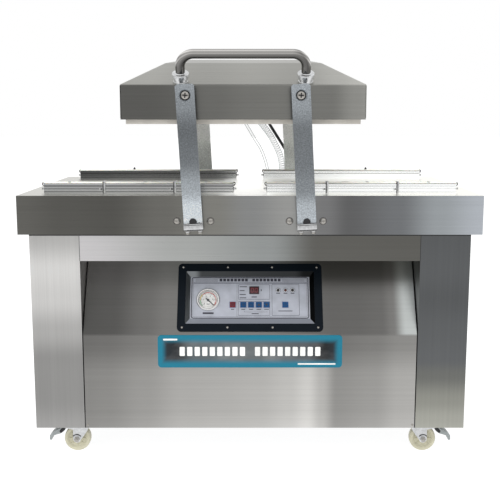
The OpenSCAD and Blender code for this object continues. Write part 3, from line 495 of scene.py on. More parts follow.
class Piece:
    """Gathers shapes, each a bmesh, into one mesh with a few materials."""

    def __init__(self, name, *materials):
        self.name, self.materials, self.bm = name, materials, bmesh.new()

    def add(self, part, place=None, mat=0):
        if place is not None:
            bmesh.ops.transform(part, matrix=place, verts=part.verts)
        bmesh.ops.recalc_face_normals(part, faces=part.faces)
        for face in part.faces:
            face.material_index = mat
        mesh = bpy.data.meshes.new("part")
        part.to_mesh(mesh)
        part.free()
        self.bm.from_mesh(mesh)
        bpy.data.meshes.remove(mesh)
        return self

    def add_all(self, place, *parts):
        for part in parts:
            self.add(part, place)

    def turn(self, profile, edge, sides, place, mat=0):
        return self.add(turned(profile, edge, sides), place, mat)

    def puck(self, radius, low, high, edge, sides, place, mat=0):
        """A short round bar from low to high."""
        return self.turn([(0, low), (radius, low), (radius, high), (0, high)], edge, sides, place, mat)

    def box(self, lo, hi, edge, place=None, mat=0):
        return self.add(cuboid(lo, hi, edge), place, mat)

    def make(self, angle=35):
        mesh = bpy.data.meshes.new(self.name)
        self.bm.to_mesh(mesh)
        self.bm.free()
        for name in self.materials:
            mesh.materials.append(MAT[name])
        mesh.shade_smooth()
        mesh.set_sharp_from_angle(angle=math.radians(angle))
        return linked(self.name, mesh)

    def ride(self, body, *nodes, angle=35, slot=None):
        """Makes the piece, on a body, in place of CAD nodes if any are named."""
        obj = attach(self.make(angle), body)
        if nodes:
            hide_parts(*nodes)
        return obj


def linked(name, data):
    """A new object in the scene."""
    obj = bpy.data.objects.new(name, data)
    bpy.context.collection.objects.link(obj)
    return obj


def spots(bm, points):
    """New vertices at points in mm."""
    return [bm.verts.new((x * MM, y * MM, z * MM)) for x, y, z in points]


def polar(radius, degrees, x=0.0, y=0.0):
    a = math.radians(degrees)
    return x + radius * math.cos(a), y + radius * math.sin(a)


def join_rings(bm, rings):
    """Skins a list of rings of points; a ring of one point is a tip."""
    for a, b in zip(rings, rings[1:]):
        n = max(len(a), len(b))
        for k in range(n):
            corners = [a[k % len(a)], a[(k + 1) % len(a)], b[(k + 1) % len(b)], b[k % len(b)]]
            corners = [v for i, v in enumerate(corners) if v not in corners[:i]]
            if len(corners) > 2:
                bm.faces.new(corners)


def filleted(points, radius, steps=6):
    """A line of points with its corners rounded; radius may be one number or one for each corner."""
    points = [Vector(p) for p in points]
    out = [points[0]]
    for i, (a, b, c) in enumerate(zip(points, points[1:], points[2:])):
        r = radius[i] if hasattr(radius, "__len__") else radius
        u, v = (a - b).normalized(), (c - b).normalized()
        half = math.acos(max(-1.0, min(1.0, u.dot(v)))) / 2
        if r <= 0 or half > 1.56:
            out.append(b)
            continue
        reach = min(r / math.tan(half), 0.48 * (a - b).length, 0.48 * (c - b).length)
        r = reach * math.tan(half)
        middle = b + (u + v).normalized() * (r / math.sin(half))
        start, end = (b + u * reach - middle).normalized(), (b + v * reach - middle).normalized()
        out += [middle + start.slerp(end, k / steps) * r for k in range(steps + 1)]
    return out + [points[-1]]


def turned(profile, radius=0.0, sides=48):
    """Turns a profile of (radius, height) points about z, its corners rounded. Radius 0 closes it."""
    bm = bmesh.new()
    rings = []
    for r, z in filleted(profile, radius, 3) if radius else profile:
        rings.append(spots(bm, [(0, 0, z)] if r < 1e-4 else [(x, y, z) for x, y in disc(r, sides)]))
    join_rings(bm, rings)
    return bm


def tube(points, radius, sides=16, unit=MM):
    """A round tube along points."""
    bm = bmesh.new()
    points = [Vector(p) * unit for p in points]
    normal = None
    rings = []
    for i, p in enumerate(points):
        t = (points[min(i + 1, len(points) - 1)] - points[max(i - 1, 0)]).normalized()
        if normal is None:
            normal = t.orthogonal().normalized()
        normal = (normal - t * normal.dot(t)).normalized()
        side = t.cross(normal)
        rings.append([bm.verts.new(p + normal * x * MM + side * y * MM) for x, y in disc(radius, sides)])
    join_rings(bm, rings)
    bm.faces.new(rings[0][::-1])
    bm.faces.new(rings[-1])
    return bm


def soften(bm, width, segments=2, sharper=25):
    """Rounds the edges where faces meet at more than sharper degrees."""
    edges = [e for e in bm.edges if len(e.link_faces) == 2 and math.degrees(e.calc_face_angle(0)) > sharper]
    if width and edges:
        bmesh.ops.bevel(bm, geom=edges, offset=width * MM, segments=segments, affect="EDGES", profile=0.6,
            clamp_overlap=True)
    return bm


def cuboid(lo, hi, edge=0.3):
    """A box between two corners, with rounded edges."""
    bm = bmesh.new()
    bmesh.ops.create_cube(bm, size=1)
    lo, hi = Vector(lo), Vector(hi)
    place = at(*(lo + hi) / 2) @ Matrix.Diagonal((*(hi - lo) * MM, 1))
    bmesh.ops.transform(bm, matrix=place, verts=bm.verts)
    return soften(bm, edge)


def plate(outline, z0, z1, edge=0.0, holes=()):
    """A flat outline in x and y, with holes, made thick from z0 to z1."""
    bm = bmesh.new()
    edges = []
    for loop in (outline, *holes):
        verts = spots(bm, [(x, y, z0) for x, y in loop])
        edges += [bm.edges.new((verts[i - 1], verts[i])) for i in range(len(verts))]
    if holes:
        bmesh.ops.triangle_fill(bm, use_beauty=True, use_dissolve=True, edges=edges)
    else:
        bm.faces.new(bm.verts)
    top = bmesh.ops.extrude_face_region(bm, geom=list(bm.faces), use_keep_orig=True)
    moved = [g for g in top["geom"] if isinstance(g, bmesh.types.BMVert)]
    bmesh.ops.translate(bm, verts=moved, vec=(0, 0, (z1 - z0) * MM))
    bmesh.ops.recalc_face_normals(bm, faces=bm.faces)
    return soften(bm, edge, sharper=50)


def bar_x(outline, x0, x1, edge=0.0):
    """An outline of points (y, z), made into a bar from x0 to x1."""
    bm = plate(outline, x0, x1, edge)
    bmesh.ops.transform(bm, matrix=frame_of((0, 0, 0), Y, X), verts=bm.verts)
    return bm


def disc(radius, sides=32, x=0.0, y=0.0):
    return [polar(radius, 360 * k / sides, x, y) for k in range(sides)]


def round_rect(width, height, radius, steps=6, x=0.0, y=0.0):
    """The outline of a rectangle with round corners."""
    points = []
    for sx, sy, start in ((1, 1, 0), (-1, 1, 90), (-1, -1, 180), (1, -1, 270)):
        middle = x + sx * (width / 2 - radius), y + sy * (height / 2 - radius)
        points += [polar(radius, start + 90 * k / steps, *middle) for k in range(steps + 1)]
    return points


def carved(solid, cutter):
    """One bmesh with another cut out of it."""
    made = []
    for name, bm in (("solid", solid), ("cutter", cutter)):
        bmesh.ops.recalc_face_normals(bm, faces=bm.faces)
        mesh = bpy.data.meshes.new(name)
        bm.to_mesh(mesh)
        bm.free()
        made.append(linked(name, mesh))
    cut = made[0].modifiers.new("cut", "BOOLEAN")
    cut.operation, cut.object, cut.solver = "DIFFERENCE", made[1], "EXACT"
    out = bmesh.new()
    out.from_mesh(made[0].evaluated_get(bpy.context.evaluated_depsgraph_get()).to_mesh())
    for obj in made:
        mesh = obj.data
        bpy.data.objects.remove(obj)
        bpy.data.meshes.remove(mesh)
    return out


def dress(node, name, edge=0.6, segments=2):
    """Gives a CAD node its material, flat faces and softened edges."""
    obj = frame["nodes"][node]
    if obj.data.materials:
        obj.data.materials[0] = MAT[name]
    else:
        obj.data.materials.append(MAT[name])
    flat = obj.modifiers.new("flat", "DECIMATE")
    flat.decimate_type, flat.angle_limit = "DISSOLVE", math.radians(0.5)
    soft = obj.modifiers.new("soft", "BEVEL")
    soft.width, soft.segments, soft.angle_limit = edge * MM, segments, math.radians(32)
    soft.limit_method, soft.harden_normals = "ANGLE", True
    obj.data.shade_smooth()
    obj.data.set_sharp_from_angle(angle=math.radians(32))


def plus(reach, width):
    """The outline of a cross, as in a cross-head screw."""
    a, b = reach / 2, width / 2
    return [(a, b), (b, b), (b, a), (-b, a), (-b, b), (-a, b),
            (-a, -b), (-b, -b), (-b, -a), (b, -a), (b, -b), (a, -b)]


def screw_head(radius, height, low=0.0, cross=True):
    """A domed head on z = 0 with its recess, its skirt going down to low."""
    profile = [(0, height), (radius * 0.45, height * 0.95), (radius * 0.8, height * 0.68),
        (radius, height * 0.22), (radius, low), (0, low)]
    head = turned(profile, [radius * 0.6, radius * 0.5, radius * 0.12, 0], 32)
    if cross:
        return carved(head, plate(plus(radius * 1.15, radius * 0.26), height * 0.3, height * 2))
    deep, wide = height * 0.25, radius * 0.42
    return carved(head, turned([(0, deep), (wide, deep), (wide, height * 2), (0, height * 2)], 0, 6))


def curve_through(points, steps):
    """A smooth curve through points."""
    points = [Vector(p) for p in points]
    out = []
    for i in range(len(points) - 1):
        a, b, c, d = points[max(i - 1, 0)], points[i], points[i + 1], points[min(i + 2, len(points) - 1)]
        for k in range(steps):
            t = k / steps
            out.append(0.5 * (2 * b + (c - a) * t + (2 * a - 5 * b + 4 * c - d) * t * t
                + (3 * b - 3 * c + d - a) * t ** 3))
    return out + [points[-1]]


# ---------- CAD nodes that keep their shape: material, edge in mm, nodes ----------

for finish, softness, nodes in (("table", 1.2, "table_top"), ("primer", 0.8, "chassis"),
        ("column_left", 0.8, "side_panel_left"), ("column_right", 0.8, "side_panel_right"),
        ("rail", 0.8, "front_rail"), ("panel", 0.8, "front_panel"), ("rear", 0.5, "rear_panel"),
        ("zinc", 0.8, "caster_plates clamps_left clamps_right"), ("zinc", 0.6,
        "fork_front_left fork_front_right fork_rear_left fork_rear_right"),
        ("casting", 1.0, "bearing_housings"), ("silicone", 1.6, "silicone_strips"), ("bezel", 1.0, "bezel"),
        ("tray", 0.5, "control_tray"), ("membrane", 0.3, "membrane_panel"), ("gauge", 0.6, "gauge_case"),
        ("pump", 2.0, "vacuum_pump"), ("motor", 1.0, "pump_motor"), ("copper", 1.0, "transformer"),
        ("aluminium", 1.0, "valve_block"), ("shaft", 0.8, "shaft_left shaft_right"),
        ("arm_left", 0.9, "arm_front_left"), ("arm_right", 0.9, "arm_front_right"),
        ("arm_rear", 0.9, "arm_rear_left arm_rear_right"), ("gasket", 1.5, "lid_gasket"),
        ("lid", 0.6, "lid_frame"), ("heater", 0.8, "heat_bar_front heat_bar_rear"),
        ("pedal", 0.8, "brake_pedal_left brake_pedal_right"), ("black", 0.2, "gauge_needle"),
        ("black", 0.5, "lid_fittings rear_fittings"), ("plate", 0.5, "name_plate")):
    for node in nodes.split():
        dress(node, finish, softness)


# ---------- lid ----------

LID_HALF = ((lid_hi.x - lid_lo.x) / 2 / MM, (lid_hi.y - lid_lo.y) / 2 / MM)


def lid_skin():
    """The pressed lid: rings inset from its walls, down the outside, under the edge and up the inside."""
    outer = filleted(((318, 170.8), (160, 164), (BEVEL_RUN, 152), (0, BEVEL_Z), (0, 0)), [60, 14, 5], 6)
    inner = filleted(((3, 0), (3, 90), (111, 149), (160, 161), (318, 167.8)), [4, 12, 50], 4)
    bm = bmesh.new()
    rings = []
    for line, corner in ((outer, 6), (inner, 3)):
        for inset, z in line:
            flat = round_rect(2 * (LID_HALF[0] - inset), 2 * (LID_HALF[1] - inset), corner, 5)
            rings.append(spots(bm, [(x, y, z) for x, y in flat]))
    join_rings(bm, rings)
    bm.faces.new(rings[0])
    bm.faces.new(rings[-1])
    return bm


lid = Piece("lid_skin", "lid").add(lid_skin(), Matrix.Translation(LID))
for s, e in CORNERS:
    weld = [(s * (LID_HALF[0] - 1.2), e * (LID_HALF[1] - 1.2), z) for z in range(4, 90, 4)]
    lid.add(tube(weld, 0.9, 6), Matrix.Translation(LID))
lid.ride("lid", "lid_shell", angle=24, slot="brushed_stainless")

GRIP_X, GRIP_Y, GRIP_Z = 165, 20, 77.5
path = filleted([(-GRIP_X, GRIP_Y, 2), (-GRIP_X, GRIP_Y, GRIP_Z),
                 (GRIP_X, GRIP_Y, GRIP_Z), (GRIP_X, GRIP_Y, 2)], 48, 18)
grip = Piece("handle_tube", "polished", "zinc").add(tube(path, 12.5, 40), BEVEL)
for x in (-GRIP_X, GRIP_X):
    foot = BEVEL @ at(x, GRIP_Y, 0)
    grip.turn([(0, -0.5), (19.5, -0.5), (19.5, 1.5), (18.5, 2.5), (18.5, 15.5), (0, 15.5)], 0.5, 48, foot, 1)
    grip.turn([(0, 12), (22.5, 12), (22.5, 23.5), (14.5, 23.5), (12.6, 25.5), (0, 25.5)],
        [0, 2.2, 2.2, 0.8, 0.8], 48, foot, 1)
    for turn in (-90, 90):
        side = foot @ at(0, -22.2 * turn / 90, 17.6) @ about("X", turn)
        grip.puck(2.0, 0, 0.7, 0.2, 20, side)
grip.ride("lid", "handle", slot="polished_tube")

bolts = Piece("pivot_bolts_turned", "screw", "black", "zinc")
pan_head = screw_head(12, 6.0, 0.2)
for side, e in SHAFT_ENDS:
    middle = SHAFT[side] + ARM
    face = out_from((middle.x, e * (ARM_OUT - 5 * MM), middle.z), e)
    turn = about("Z", 20 * e + 15)
    bolts.add(pan_head.copy(), face @ turn)
    # Painted shade: a black cross at the bottom of the head's recess.
    bolts.add(plate(plus(13.4, 2.9), 1.4, 1.9), face @ turn, 1)
    bolts.add(plate(disc(13.4, 48), 0.1, 0.9, 0, [disc(12.1, 48)]), face, 1)
    bolts.puck(10, 0.2, -7, 0, 32, face)
    bolts.turn([(0, -7.3), (13.5, -7.3), (15, -8.8), (15, -18), (13.5, -20), (0, -20)], 0.6, 40, face, 2)
    bolts.puck(11, -22, -30, 0.8, 6, face @ at(0, 0, -13), 2)
    bolts.puck(6, -20, -44, 0, 24, face)
pan_head.free()
bolts.ride("lid", "pivot_bolts", slot="screw_steel")

# ---------- arms ----------

for side in SIDES:
    caps = Piece("arm_caps_" + side, "zinc", "screw", "black")
    for e in (-1, 1):
        face = arm_frame(side) @ about("Z", 180 if e > 0 else 0)
        out = -ARM_OUT / MM
        caps.box((-26, out - 3.2, -20.5), (26, out - 0.2, -6.4), 0.7, face)
        caps.box((-26.4, out - 3.9, -6.8), (26.4, out - 0.1, -4.6), 0.5, face)
        caps.box((-25, out + 0.2, -23.6), (25, out + 11.6, -20.2), 0.5, face)
        for low, high in ((-8.4, -6.8), (-22.6, -20.4), (-4.8, -3.4)):
            caps.box((-26.1, out - 3.6, low), (26.1, out, high), 0.1, face, 2)
        for x in (-16.5, 16.5):
            caps.puck(6.6, 0, -1.6, 0.3, 32, face @ at(x, out + 6, -23.5), 1)
            socket_head = carved(turned([(0, 0), (5.6, 0), (5.6, -7.6), (0, -7.6)], 0.6, 32),
                                 turned([(0, -4), (2.9, -4), (2.9, -9), (0, -9)], 0, 6))
            caps.add(socket_head, face @ at(x, out + 6, -25), 1)
        shaft_end = arm_frame(side) @ out_from((0, e * ARM_OUT, 0), e)
        caps.turn([(0, 2.3), (9.2, 2.3), (9.9, 1.6), (9.9, 0)], 0, 40, shaft_end, 2)
    caps.ride(side + "_arms", slot="bright_zinc")

# ---------- screws and bolts of the cabinet ----------

screws_and_painted_shadows = Piece("cabinet_screws_and_painted_shadows", "screw", "black")
bearing_head = screw_head(8, 5, 0, cross=False)
small_head = screw_head(3.4, 2.2, 0)
tiny_head = screw_head(3.5, 1.8, 0)
rear_head = screw_head(5, 2.6, 0)
for side, e in SHAFT_ENDS:
    for b in (-45, 45):
        face = out_from((SHAFT[side].x + b * MM, e * table_hi.y, SHAFT[side].z), e)
        screws_and_painted_shadows.add(bearing_head.copy(), face @ at(0, 0, 0.6) @ Matrix.Rotation(b * 0.01 + e, 4, "Z"))
        screws_and_painted_shadows.puck(8.9, 0, 0.9, 0.2, 40, face)
        screws_and_painted_shadows.puck(10.2, 0, 0.25, 0, 40, face, 1)
        # Painted shade: a black hexagon at the bottom of the head's socket.
        screws_and_painted_shadows.puck(3.4, 1.3, 1.6, 0, 6, face, 1)
        screws_and_painted_shadows.puck(4, 0, -14, 0, 20, face)
for x in (-190, -63, 63, 190):
    for y in (-89, 89):
        screws_and_painted_shadows.add(small_head.copy(), POD_FACE @ at(x, y, 4) @ Matrix.Rotation(x * 0.3 + y, 4, "Z"))
for x in (-459, 459):
    spot = Vector((x * MM, BODY_FRONT, panel_lo.z + 9 * MM))
    screws_and_painted_shadows.add(tiny_head.copy(), Matrix.Translation(spot) @ FACING)
for x in (-560, -190, 190, 560):
    for z in (rear_lo.z + 15 * MM, rear_hi.z - 15 * MM):
        screws_and_painted_shadows.add(rear_head.copy(), out_from((x * MM, rear_hi.y, z), 1) @ Matrix.Rotation(x * 0.7, 4, "Z"))
front, side_x, seam_x, rail_low, rail_top, foot_z = (
    v / MM for v in (BODY_FRONT, side_lo.x, rail_hi.x, rail_lo.z, rail_hi.z, panel_lo.z))
gap_x = (panel_hi.x / MM + seam_x) / 2 + 0.5
# Painted shadow: dark strips under the table's skirt, beside the rail, and behind the gap beside the front
# panel's foot.
screws_and_painted_shadows.box((side_x, front - 0.3, rail_top - 8), (-side_x, front + 0.5, rail_top), 0, None, 1)
for s in (-1, 1):
    screws_and_painted_shadows.box((s * seam_x - 0.7, rail_lo.y / MM - 0.25, rail_low),
        (s * seam_x + 0.7, rail_lo.y / MM + 1, rail_top), 0, None, 1)
    screws_and_painted_shadows.box((s * gap_x - 2.4, front + 0.7, foot_z),
        (s * gap_x + 2.4, front + 1.6, foot_z + 45), 0, None, 1)
for head in (bearing_head, small_head, tiny_head, rear_head):
    head.free()
screws_and_painted_shadows.ride("cabinet", "fasteners", slot="screw_steel")

# ---------- seal bars on the table ----------

TABLE_Z = table_hi.z / MM
BAR_X, BAR_Y, BAR_HALF = 306, 261, 260
bars = Piece("seal_bar_profiles", "front_bar", "black", "zinc", "rear_bar", "groove")
strips = Piece("silicone_caps", "silicone", "black")
RAIL = [(14, 0), (14, 3.4), (12.6, 4.2), (12.6, 5.4), (14, 6.2), (14, 9), (11.5, 10), (11.5, 14.4),
    (14, 15.4), (14, 18.6), (12.8, 19.4), (12.8, 21), (14, 21.8), (14, 25), (13, 26)]
RAIL = [(-14, 0)] + RAIL + [(-y, z) for y, z in RAIL[:0:-1]]
CAP = [(polar(11.8, a)[0], 1.6 + polar(3.4, a)[1]) for a in range(10, 171, 20)]
CAP = [(-12, 0), (12, 0), (12, 1.5)] + CAP + [(-12, 1.5)]
for s, e in CORNERS:
    middle = at(s * BAR_X, e * BAR_Y, TABLE_Z)
    bars.add(bar_x(RAIL, -BAR_HALF, BAR_HALF), middle, 0 if e < 0 else 3)
    strips.add(bar_x(CAP, -263, 263, 0.5), middle @ at(0, 0, 26))
    strips.add(bar_x([(-12.6, 26), (12.6, 26), (12.6, 27.0), (-12.6, 27.0)], -262, 262), middle, 1)
    # Painted shade: dark strips over the grooves of each bar's face towards the front.
    lines = ((3.9, 1.4), (12.4, 1.0), (20.2, 1.8))
    if e > 0:
        lines = ((6.2, 1.2), (12.4, 1.2), (18.4, 4.2), (25.2, 1.4))
    for z, thick in lines:
        bars.box((-BAR_HALF, -14.15, z - thick / 2), (BAR_HALF, -13.6, z + thick / 2), 0.1, middle, 4)
    for end in (-1, 1):
        loop = [(x * end, 0, z) for z, x in (polar(4.2, a, 25.5, 261) for a in range(-20, 231, 18))]
        for y in (-9, 9):
            bars.add(tube(loop, 1.1, 10), middle @ at(0, y, 0), 1)
        bars.add(tube([(265.2 * end, -9, 25.5), (265.2 * end, 9, 25.5)], 1.1, 10), middle, 1)
        bars.box((260 * end - 0.6, -10.5, 1), (260 * end + 0.6, 10.5, 23), 0.3, middle, 1)
        knob = middle @ at(260.5 * end, 0, 12) @ about("Y", 90 * end)
        bars.turn([(0, 0), (4.6, 0), (4.6, 2.4), (2.2, 3.4), (2.2, 5), (3.2, 6.5), (2.2, 8), (0, 8.2)], 0.5,
            28, knob, 2)
    if e < 0:
        for x in (-97, 97):
            clip = filleted([(x, y, z) for y, z in ((-15, 0.6), (-15, 32), (13.2, 32), (13.2, 27))], 2.2, 4)
            for dx in (1.8, 5.2):
                bars.add(tube([p + X * dx for p in clip], 0.9, 10), middle, 2)
            bars.box((x + 1, -15.6, 2), (x + 6, -14.6, 31), 0.4, middle, 2)
            bars.box((x - 1.1, -16.2, 0.5), (x + 1.1, -14.2, 32.4), 0.3, middle, 1)
            bars.box((x - 1.1, -14, 31.3), (x + 6, 12, 32.5), 0.4, middle, 2)
            pin = middle @ at(x - 1.2, -17.5, 12) @ about("Y", -90)
            bars.turn([(0, 0), (2.6, 0), (2.6, 1.2), (1.4, 1.8), (1.4, 5), (3.1, 5.6), (3.1, 8.4), (0, 9)],
                0.3, 20, pin, 2)
            bars.puck(1.7, 1.9, 4.9, 0, 16, pin, 1)
        for x in (-190, 17, 185):
            bars.turn([(0, 0), (4.5, 0), (4.5, 1.2), (2.6, 2.4), (0, 2.6)], 0.4, 24,
                middle @ at(x, -6, 30.6), 2)
    else:
        knob = turned([(0, 0), (4, 0), (4, 3), (2.6, 4), (3.4, 6.2), (0, 7.4)], 0.5, 24)
        bars.add(knob, middle @ at(s * 81, 0, 30.6), 1)
bars.ride("cabinet", "seal_bars", slot="profile_aluminium")
strips.ride("cabinet", "silicone_strips", slot="white_silicone")

grilles = Piece("suction_grilles", "zinc", "black")
for s in (-1, 1):
    spot = at(s * BAR_X, 120, TABLE_Z - 1.6)
    holes = [disc(2.2, 16, *middle) for middle in disc(11.5, 8) + disc(5.2, 4)]
    grilles.add(plate(disc(16.6, 48), 0, 1.2, 0, holes), spot)
    # Painted shade: a black disc under the grille, dark through its holes.
    grilles.puck(16.4, -2.2, -1.6, 0, 40, spot, 1)
grilles.ride("cabinet")

# ---------- control panel ----------

INK = 0.10


def ink_line(points, width):
    """A flat printed line through points."""
    bm = bmesh.new()
    for (x0, y0), (x1, y1) in zip(points, points[1:]):
        a, b = Vector((x0, y0, 0)), Vector((x1, y1, 0))
        along_line = (b - a).normalized()
        across = Vector((-along_line.y, along_line.x, 0)) * width / 2
        a, b = a - along_line * width / 2, b + along_line * width / 2
        outline = (a - across, b - across, b + across, a + across)
        corners = spots(bm, [(*p.xy, z) for z in (-INK, INK) for p in outline])
        for loop in ((3, 2, 1, 0), (4, 5, 6, 7), (0, 1, 5, 4), (1, 2, 6, 5), (2, 3, 7, 6), (3, 0, 4, 7)):
            bm.faces.new([corners[k] for k in loop])
    return bm


def ink_frame(x0, y0, x1, y1, width, corner=2.0):
    """A printed outline box with round corners."""
    mid, size = ((x0 + x1) / 2, (y0 + y1) / 2), (abs(x1 - x0), abs(y1 - y0))
    outer = round_rect(size[0] + width, size[1] + width, corner + width / 2, 5, *mid)
    inner = round_rect(size[0] - width, size[1] - width, max(0.3, corner - width / 2), 5, *mid)
    return plate(outer, -INK, INK, 0, [inner])


def ink_block(x, y, width, height, corner=0.4):
    return plate(round_rect(width, height, min(corner, height / 2.01), 3, x, y), -INK, INK)


def ink_arc(radius, width, start, end, x=0.0, y=0.0, steps=28):
    """A printed band round a middle, between two angles in degrees."""
    angles = [start + (end - start) * k / steps for k in range(steps + 1)]
    outline = [polar(radius + width / 2, a, x, y) for a in angles]
    outline += [polar(radius - width / 2, a, x, y) for a in reversed(angles)]
    bm = bmesh.new()
    count = len(angles)
    verts = [spots(bm, [(*p, z) for p in outline]) for z in (-INK, INK)]
    for low in range(2 * count):
        high = (low + 1) % (2 * count)
        bm.faces.new((verts[0][low], verts[0][high], verts[1][high], verts[1][low]))
    for level in verts:
        for k in range(count - 1):
            bm.faces.new((level[k], level[k + 1], level[2 * count - 2 - k], level[2 * count - 1 - k]))
    return bm


KEY_X = [(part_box(key)[0].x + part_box(key)[1].x) / 2 / MM for key in KEYS]
LAMPS_X = (80, 101, 121)

print_dark = Piece("panel_print", "ink_dark")
print_dark.add_all(
    PANEL,
    *[ink_frame(*row) for row in (
        (-165.5, -57.5, 165.5, 63.2, 2.5, 6), (-161.5, -53.5, 161.5, 60, 0.6, 3), (-33, -2, 56, 42, 0.9, 1.5),
        (-33, -49.6, 56, -8.5, 0.9, 1.5), (62.5, -49.6, 139.5, 43, 1.0, 1.5))],
    *[ink_line([(-161.5, y), (161.5, y)], width) for y, width in ((46, 1.3), (48.6, 0.6))],
    *[ink_line([(x, y), (x + 63, y)], 1.1) for y in (52.6, 56.4) for x in (-155, 92)],
    *[ink_block(-83 + k * 10.4, 55.6, 7.9, 8.2, 1) for k in range(17) if k != 8],
    ink_line([(-37, 46), (-37, -53)], 0.6),
    *[ink_block(-29.5 + width / 2, y, width, 2.3)
      for y, width in ((35.5, 21), (24, 14), (12.3, 18), (2.4, 19))],
    ink_block(12, 5, 15, 2.8), ink_block(32, 25, 2.6, 5.6),
    *[ink_block(x, -31.5 if width < 40 else -36.5, width, 2.2)
      for x, width in zip(KEY_X, (9, 11, 12, 13, 13, 40))],
    ink_line([(-16, -36), (-16, -39.5), (48, -39.5), (48, -36)], 0.5),
    ink_block(14.5, -44.5, 20, 2.4), ink_block(-118, -43, 31, 5.2),
    *[shape for x in LAMPS_X for shape in (ink_arc(7.2, 0.6, 0, 360, x, 25), ink_block(x, 15.6, 11, 1.9))])
print_dark.ride("cabinet", slot="membrane")

trims = Piece("panel_key_surrounds", "ink_blue")
for x in KEY_X:
    trims.add(ink_frame(x - 9.2, KEY_ROW - 9.2, x + 9.2, KEY_ROW + 9.2, 0.9, 1.6), PANEL)
trims.ride("cabinet", slot="membrane")


def arrow(turn):
    return plate([(-4.6, -3 * turn), (4.6, -3 * turn), (0, 4.2 * turn)], -INK, INK)


SIGNS = {
    "key_stop": [ink_frame(-3, -3, 3, 3, 0.9, 0.6)],
    "key_vacuum": [ink_arc(3.2, 0.9, 0, 360), ink_line([(-1.4, 0), (1.4, 0)], 0.8)],
    "key_seal": [ink_line([(-3.4, y), (3.4, y)], 1.0) for y in (1.8, -1.8)],
    "key_up": [arrow(1)],
    "key_down": [arrow(-1)],
    "key_power": [ink_arc(3.6, 0.9, 120, 420), ink_line([(0, 1), (0, 5)], 1.0)],
}
for name, x in zip(KEYS, KEY_X):
    paint = "key_red" if name == "key_stop" else "key_blue"
    dress(name, paint, 0.9, 3)
    sign = Piece(name + "_sign", "ink_dark")
    sign.add_all(POD_FACE @ at(x, KEY_ROW, PANEL_TOP + 0.6), *SIGNS[name])
    sign.ride(name, slot=paint)

DIAL = GAUGE_FACE @ at(0, 0, -17.9)
DIAL_START, DIAL_SWEEP = 225, 270
rim = Piece("gauge_rim", "gauge")
rim.add(carved(turned([(0, -12), (33, -12), (33, -8.6), (31, -6.8), (28.2, -6.8), (27.4, -8.6), (0, -8.6)],
    [0, 1.2, 1.5, 0.8, 0.6, 0], 72), turned([(0, -14), (27.3, -14), (27.3, -5), (0, -5)], 0, 72)), GAUGE_FACE)
rim.ride("cabinet", slot="gauge_steel")
dial = Piece("gauge_dial", "dial", "ink_dark", "ink_green", "ink_yellow", "ink_red")
dial.puck(27.2, 0.25, -0.2, 0, 64, DIAL)
face = DIAL @ at(0, 0, 0.3)
for band, start, end in ((2, 225, 178), (3, 176, 136), (4, 134, -45)):
    dial.add(ink_arc(22.2, 1.9, start, end), face, band)
for k in range(51):
    angle = DIAL_START - DIAL_SWEEP * k / 50
    long = k % 5 == 0
    inner = 16.8 if k % 10 == 0 else 18.2 if long else 19.4
    dial.add(ink_line([polar(inner, angle), polar(20.8, angle)], 0.55 if long else 0.28), face, 1)
dial.add(ink_arc(25.4, 0.4, 0, 360), face, 1)
dial.add(ink_block(0, -11, 9, 1.6), face, 1)
dial.turn([(0, 4.9), (1.9, 4.9), (2.6, 3.4), (2.6, 2.8), (0, 2.8)], 0.3, 24, DIAL, 1)
dial.ride("cabinet", slot="gauge_steel")

for k in range(6):
    figure = bpy.data.curves.new("dial_figure", "FONT")
    figure.body, figure.size, figure.align_x, figure.align_y = str(2 * k), 5.2 * MM, "CENTER", "CENTER"
    figure.extrude = 0.05 * MM
    figure.materials.append(MAT["ink_dark"])
    obj = linked("dial_figure_%d" % k, figure)
    obj.matrix_world = face @ at(*polar(13.2, DIAL_START - DIAL_SWEEP * k / 5), 0)
    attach(obj, "cabinet")

windows = Piece("panel_windows", "glass", "display", "lit", "lamp_red", "black", "gauge")
windows.turn([(0, -10.5), (27.4, -10.5), (27.4, -9.4), (0, -9.0)], [0.4, 0.5], 64, GAUGE_FACE, 0)
glass_at = PANEL @ at(12, 25, 0)
windows.add(plate(round_rect(26, 21, 1, 4), -2, 0.5, 0.3), glass_at, 1)
windows.add(plate(round_rect(28.4, 23.4, 1.6, 4), -0.2, 0.7, 0.2, [round_rect(25.6, 20.6, 1, 4)]),
    glass_at, 4)
slope = 0.08
for digit in (-5.6, 5.6):
    for x0, y0, x1, y1 in ((-2.6, 5.6, 2.6, 5.6), (-2.6, -5.6, 2.6, -5.6), (-3.3, 0.7, -3.3, 4.9),
            (3.3, 0.7, 3.3, 4.9), (-3.3, -0.7, -3.3, -4.9), (3.3, -0.7, 3.3, -4.9)):
        segment = ink_line([(digit + x0 + y0 * slope, y0), (digit + x1 + y1 * slope, y1)], 1.1)
        windows.add(segment, glass_at @ at(0, 0, 0.52), 2)
for x, paint in zip(LAMPS_X, (4, 3, 4)):
    lens = PANEL @ at(x, 25, 0)
    windows.turn([(0, 3.2), (2.2, 2.8), (3.9, 1.4), (4.2, 0.4), (4.2, -2), (0, -2)], [1, 0.8, 0.4, 0.2], 32,
        lens, paint)
    windows.add(plate(disc(5.4, 36), -0.1, 0.7, 0.2, [disc(4.3, 36)]), lens, 5)
windows.ride("cabinet", "panel_lenses", slot="lens")

# ---------- name plate, with a plain pattern of bars where the print is ----------

plate_face = Matrix.Translation(Vector((0, plate_lo.y, (plate_lo.z + plate_hi.z) / 2))) @ FACING
marks = Piece("plate_bars", "white_ink")
marks.add_all(plate_face, *[ink_block(-189 + k * 21, 0, 14.5, 26, 2.2) for k in range(19) if k != 9],
              ink_block(-222, 34, 40, 5, 2.4), ink_block(186, -36, 106, 4.2, 2))
marks.ride("cabinet", slot="plate_print")

# ---------- casters ----------

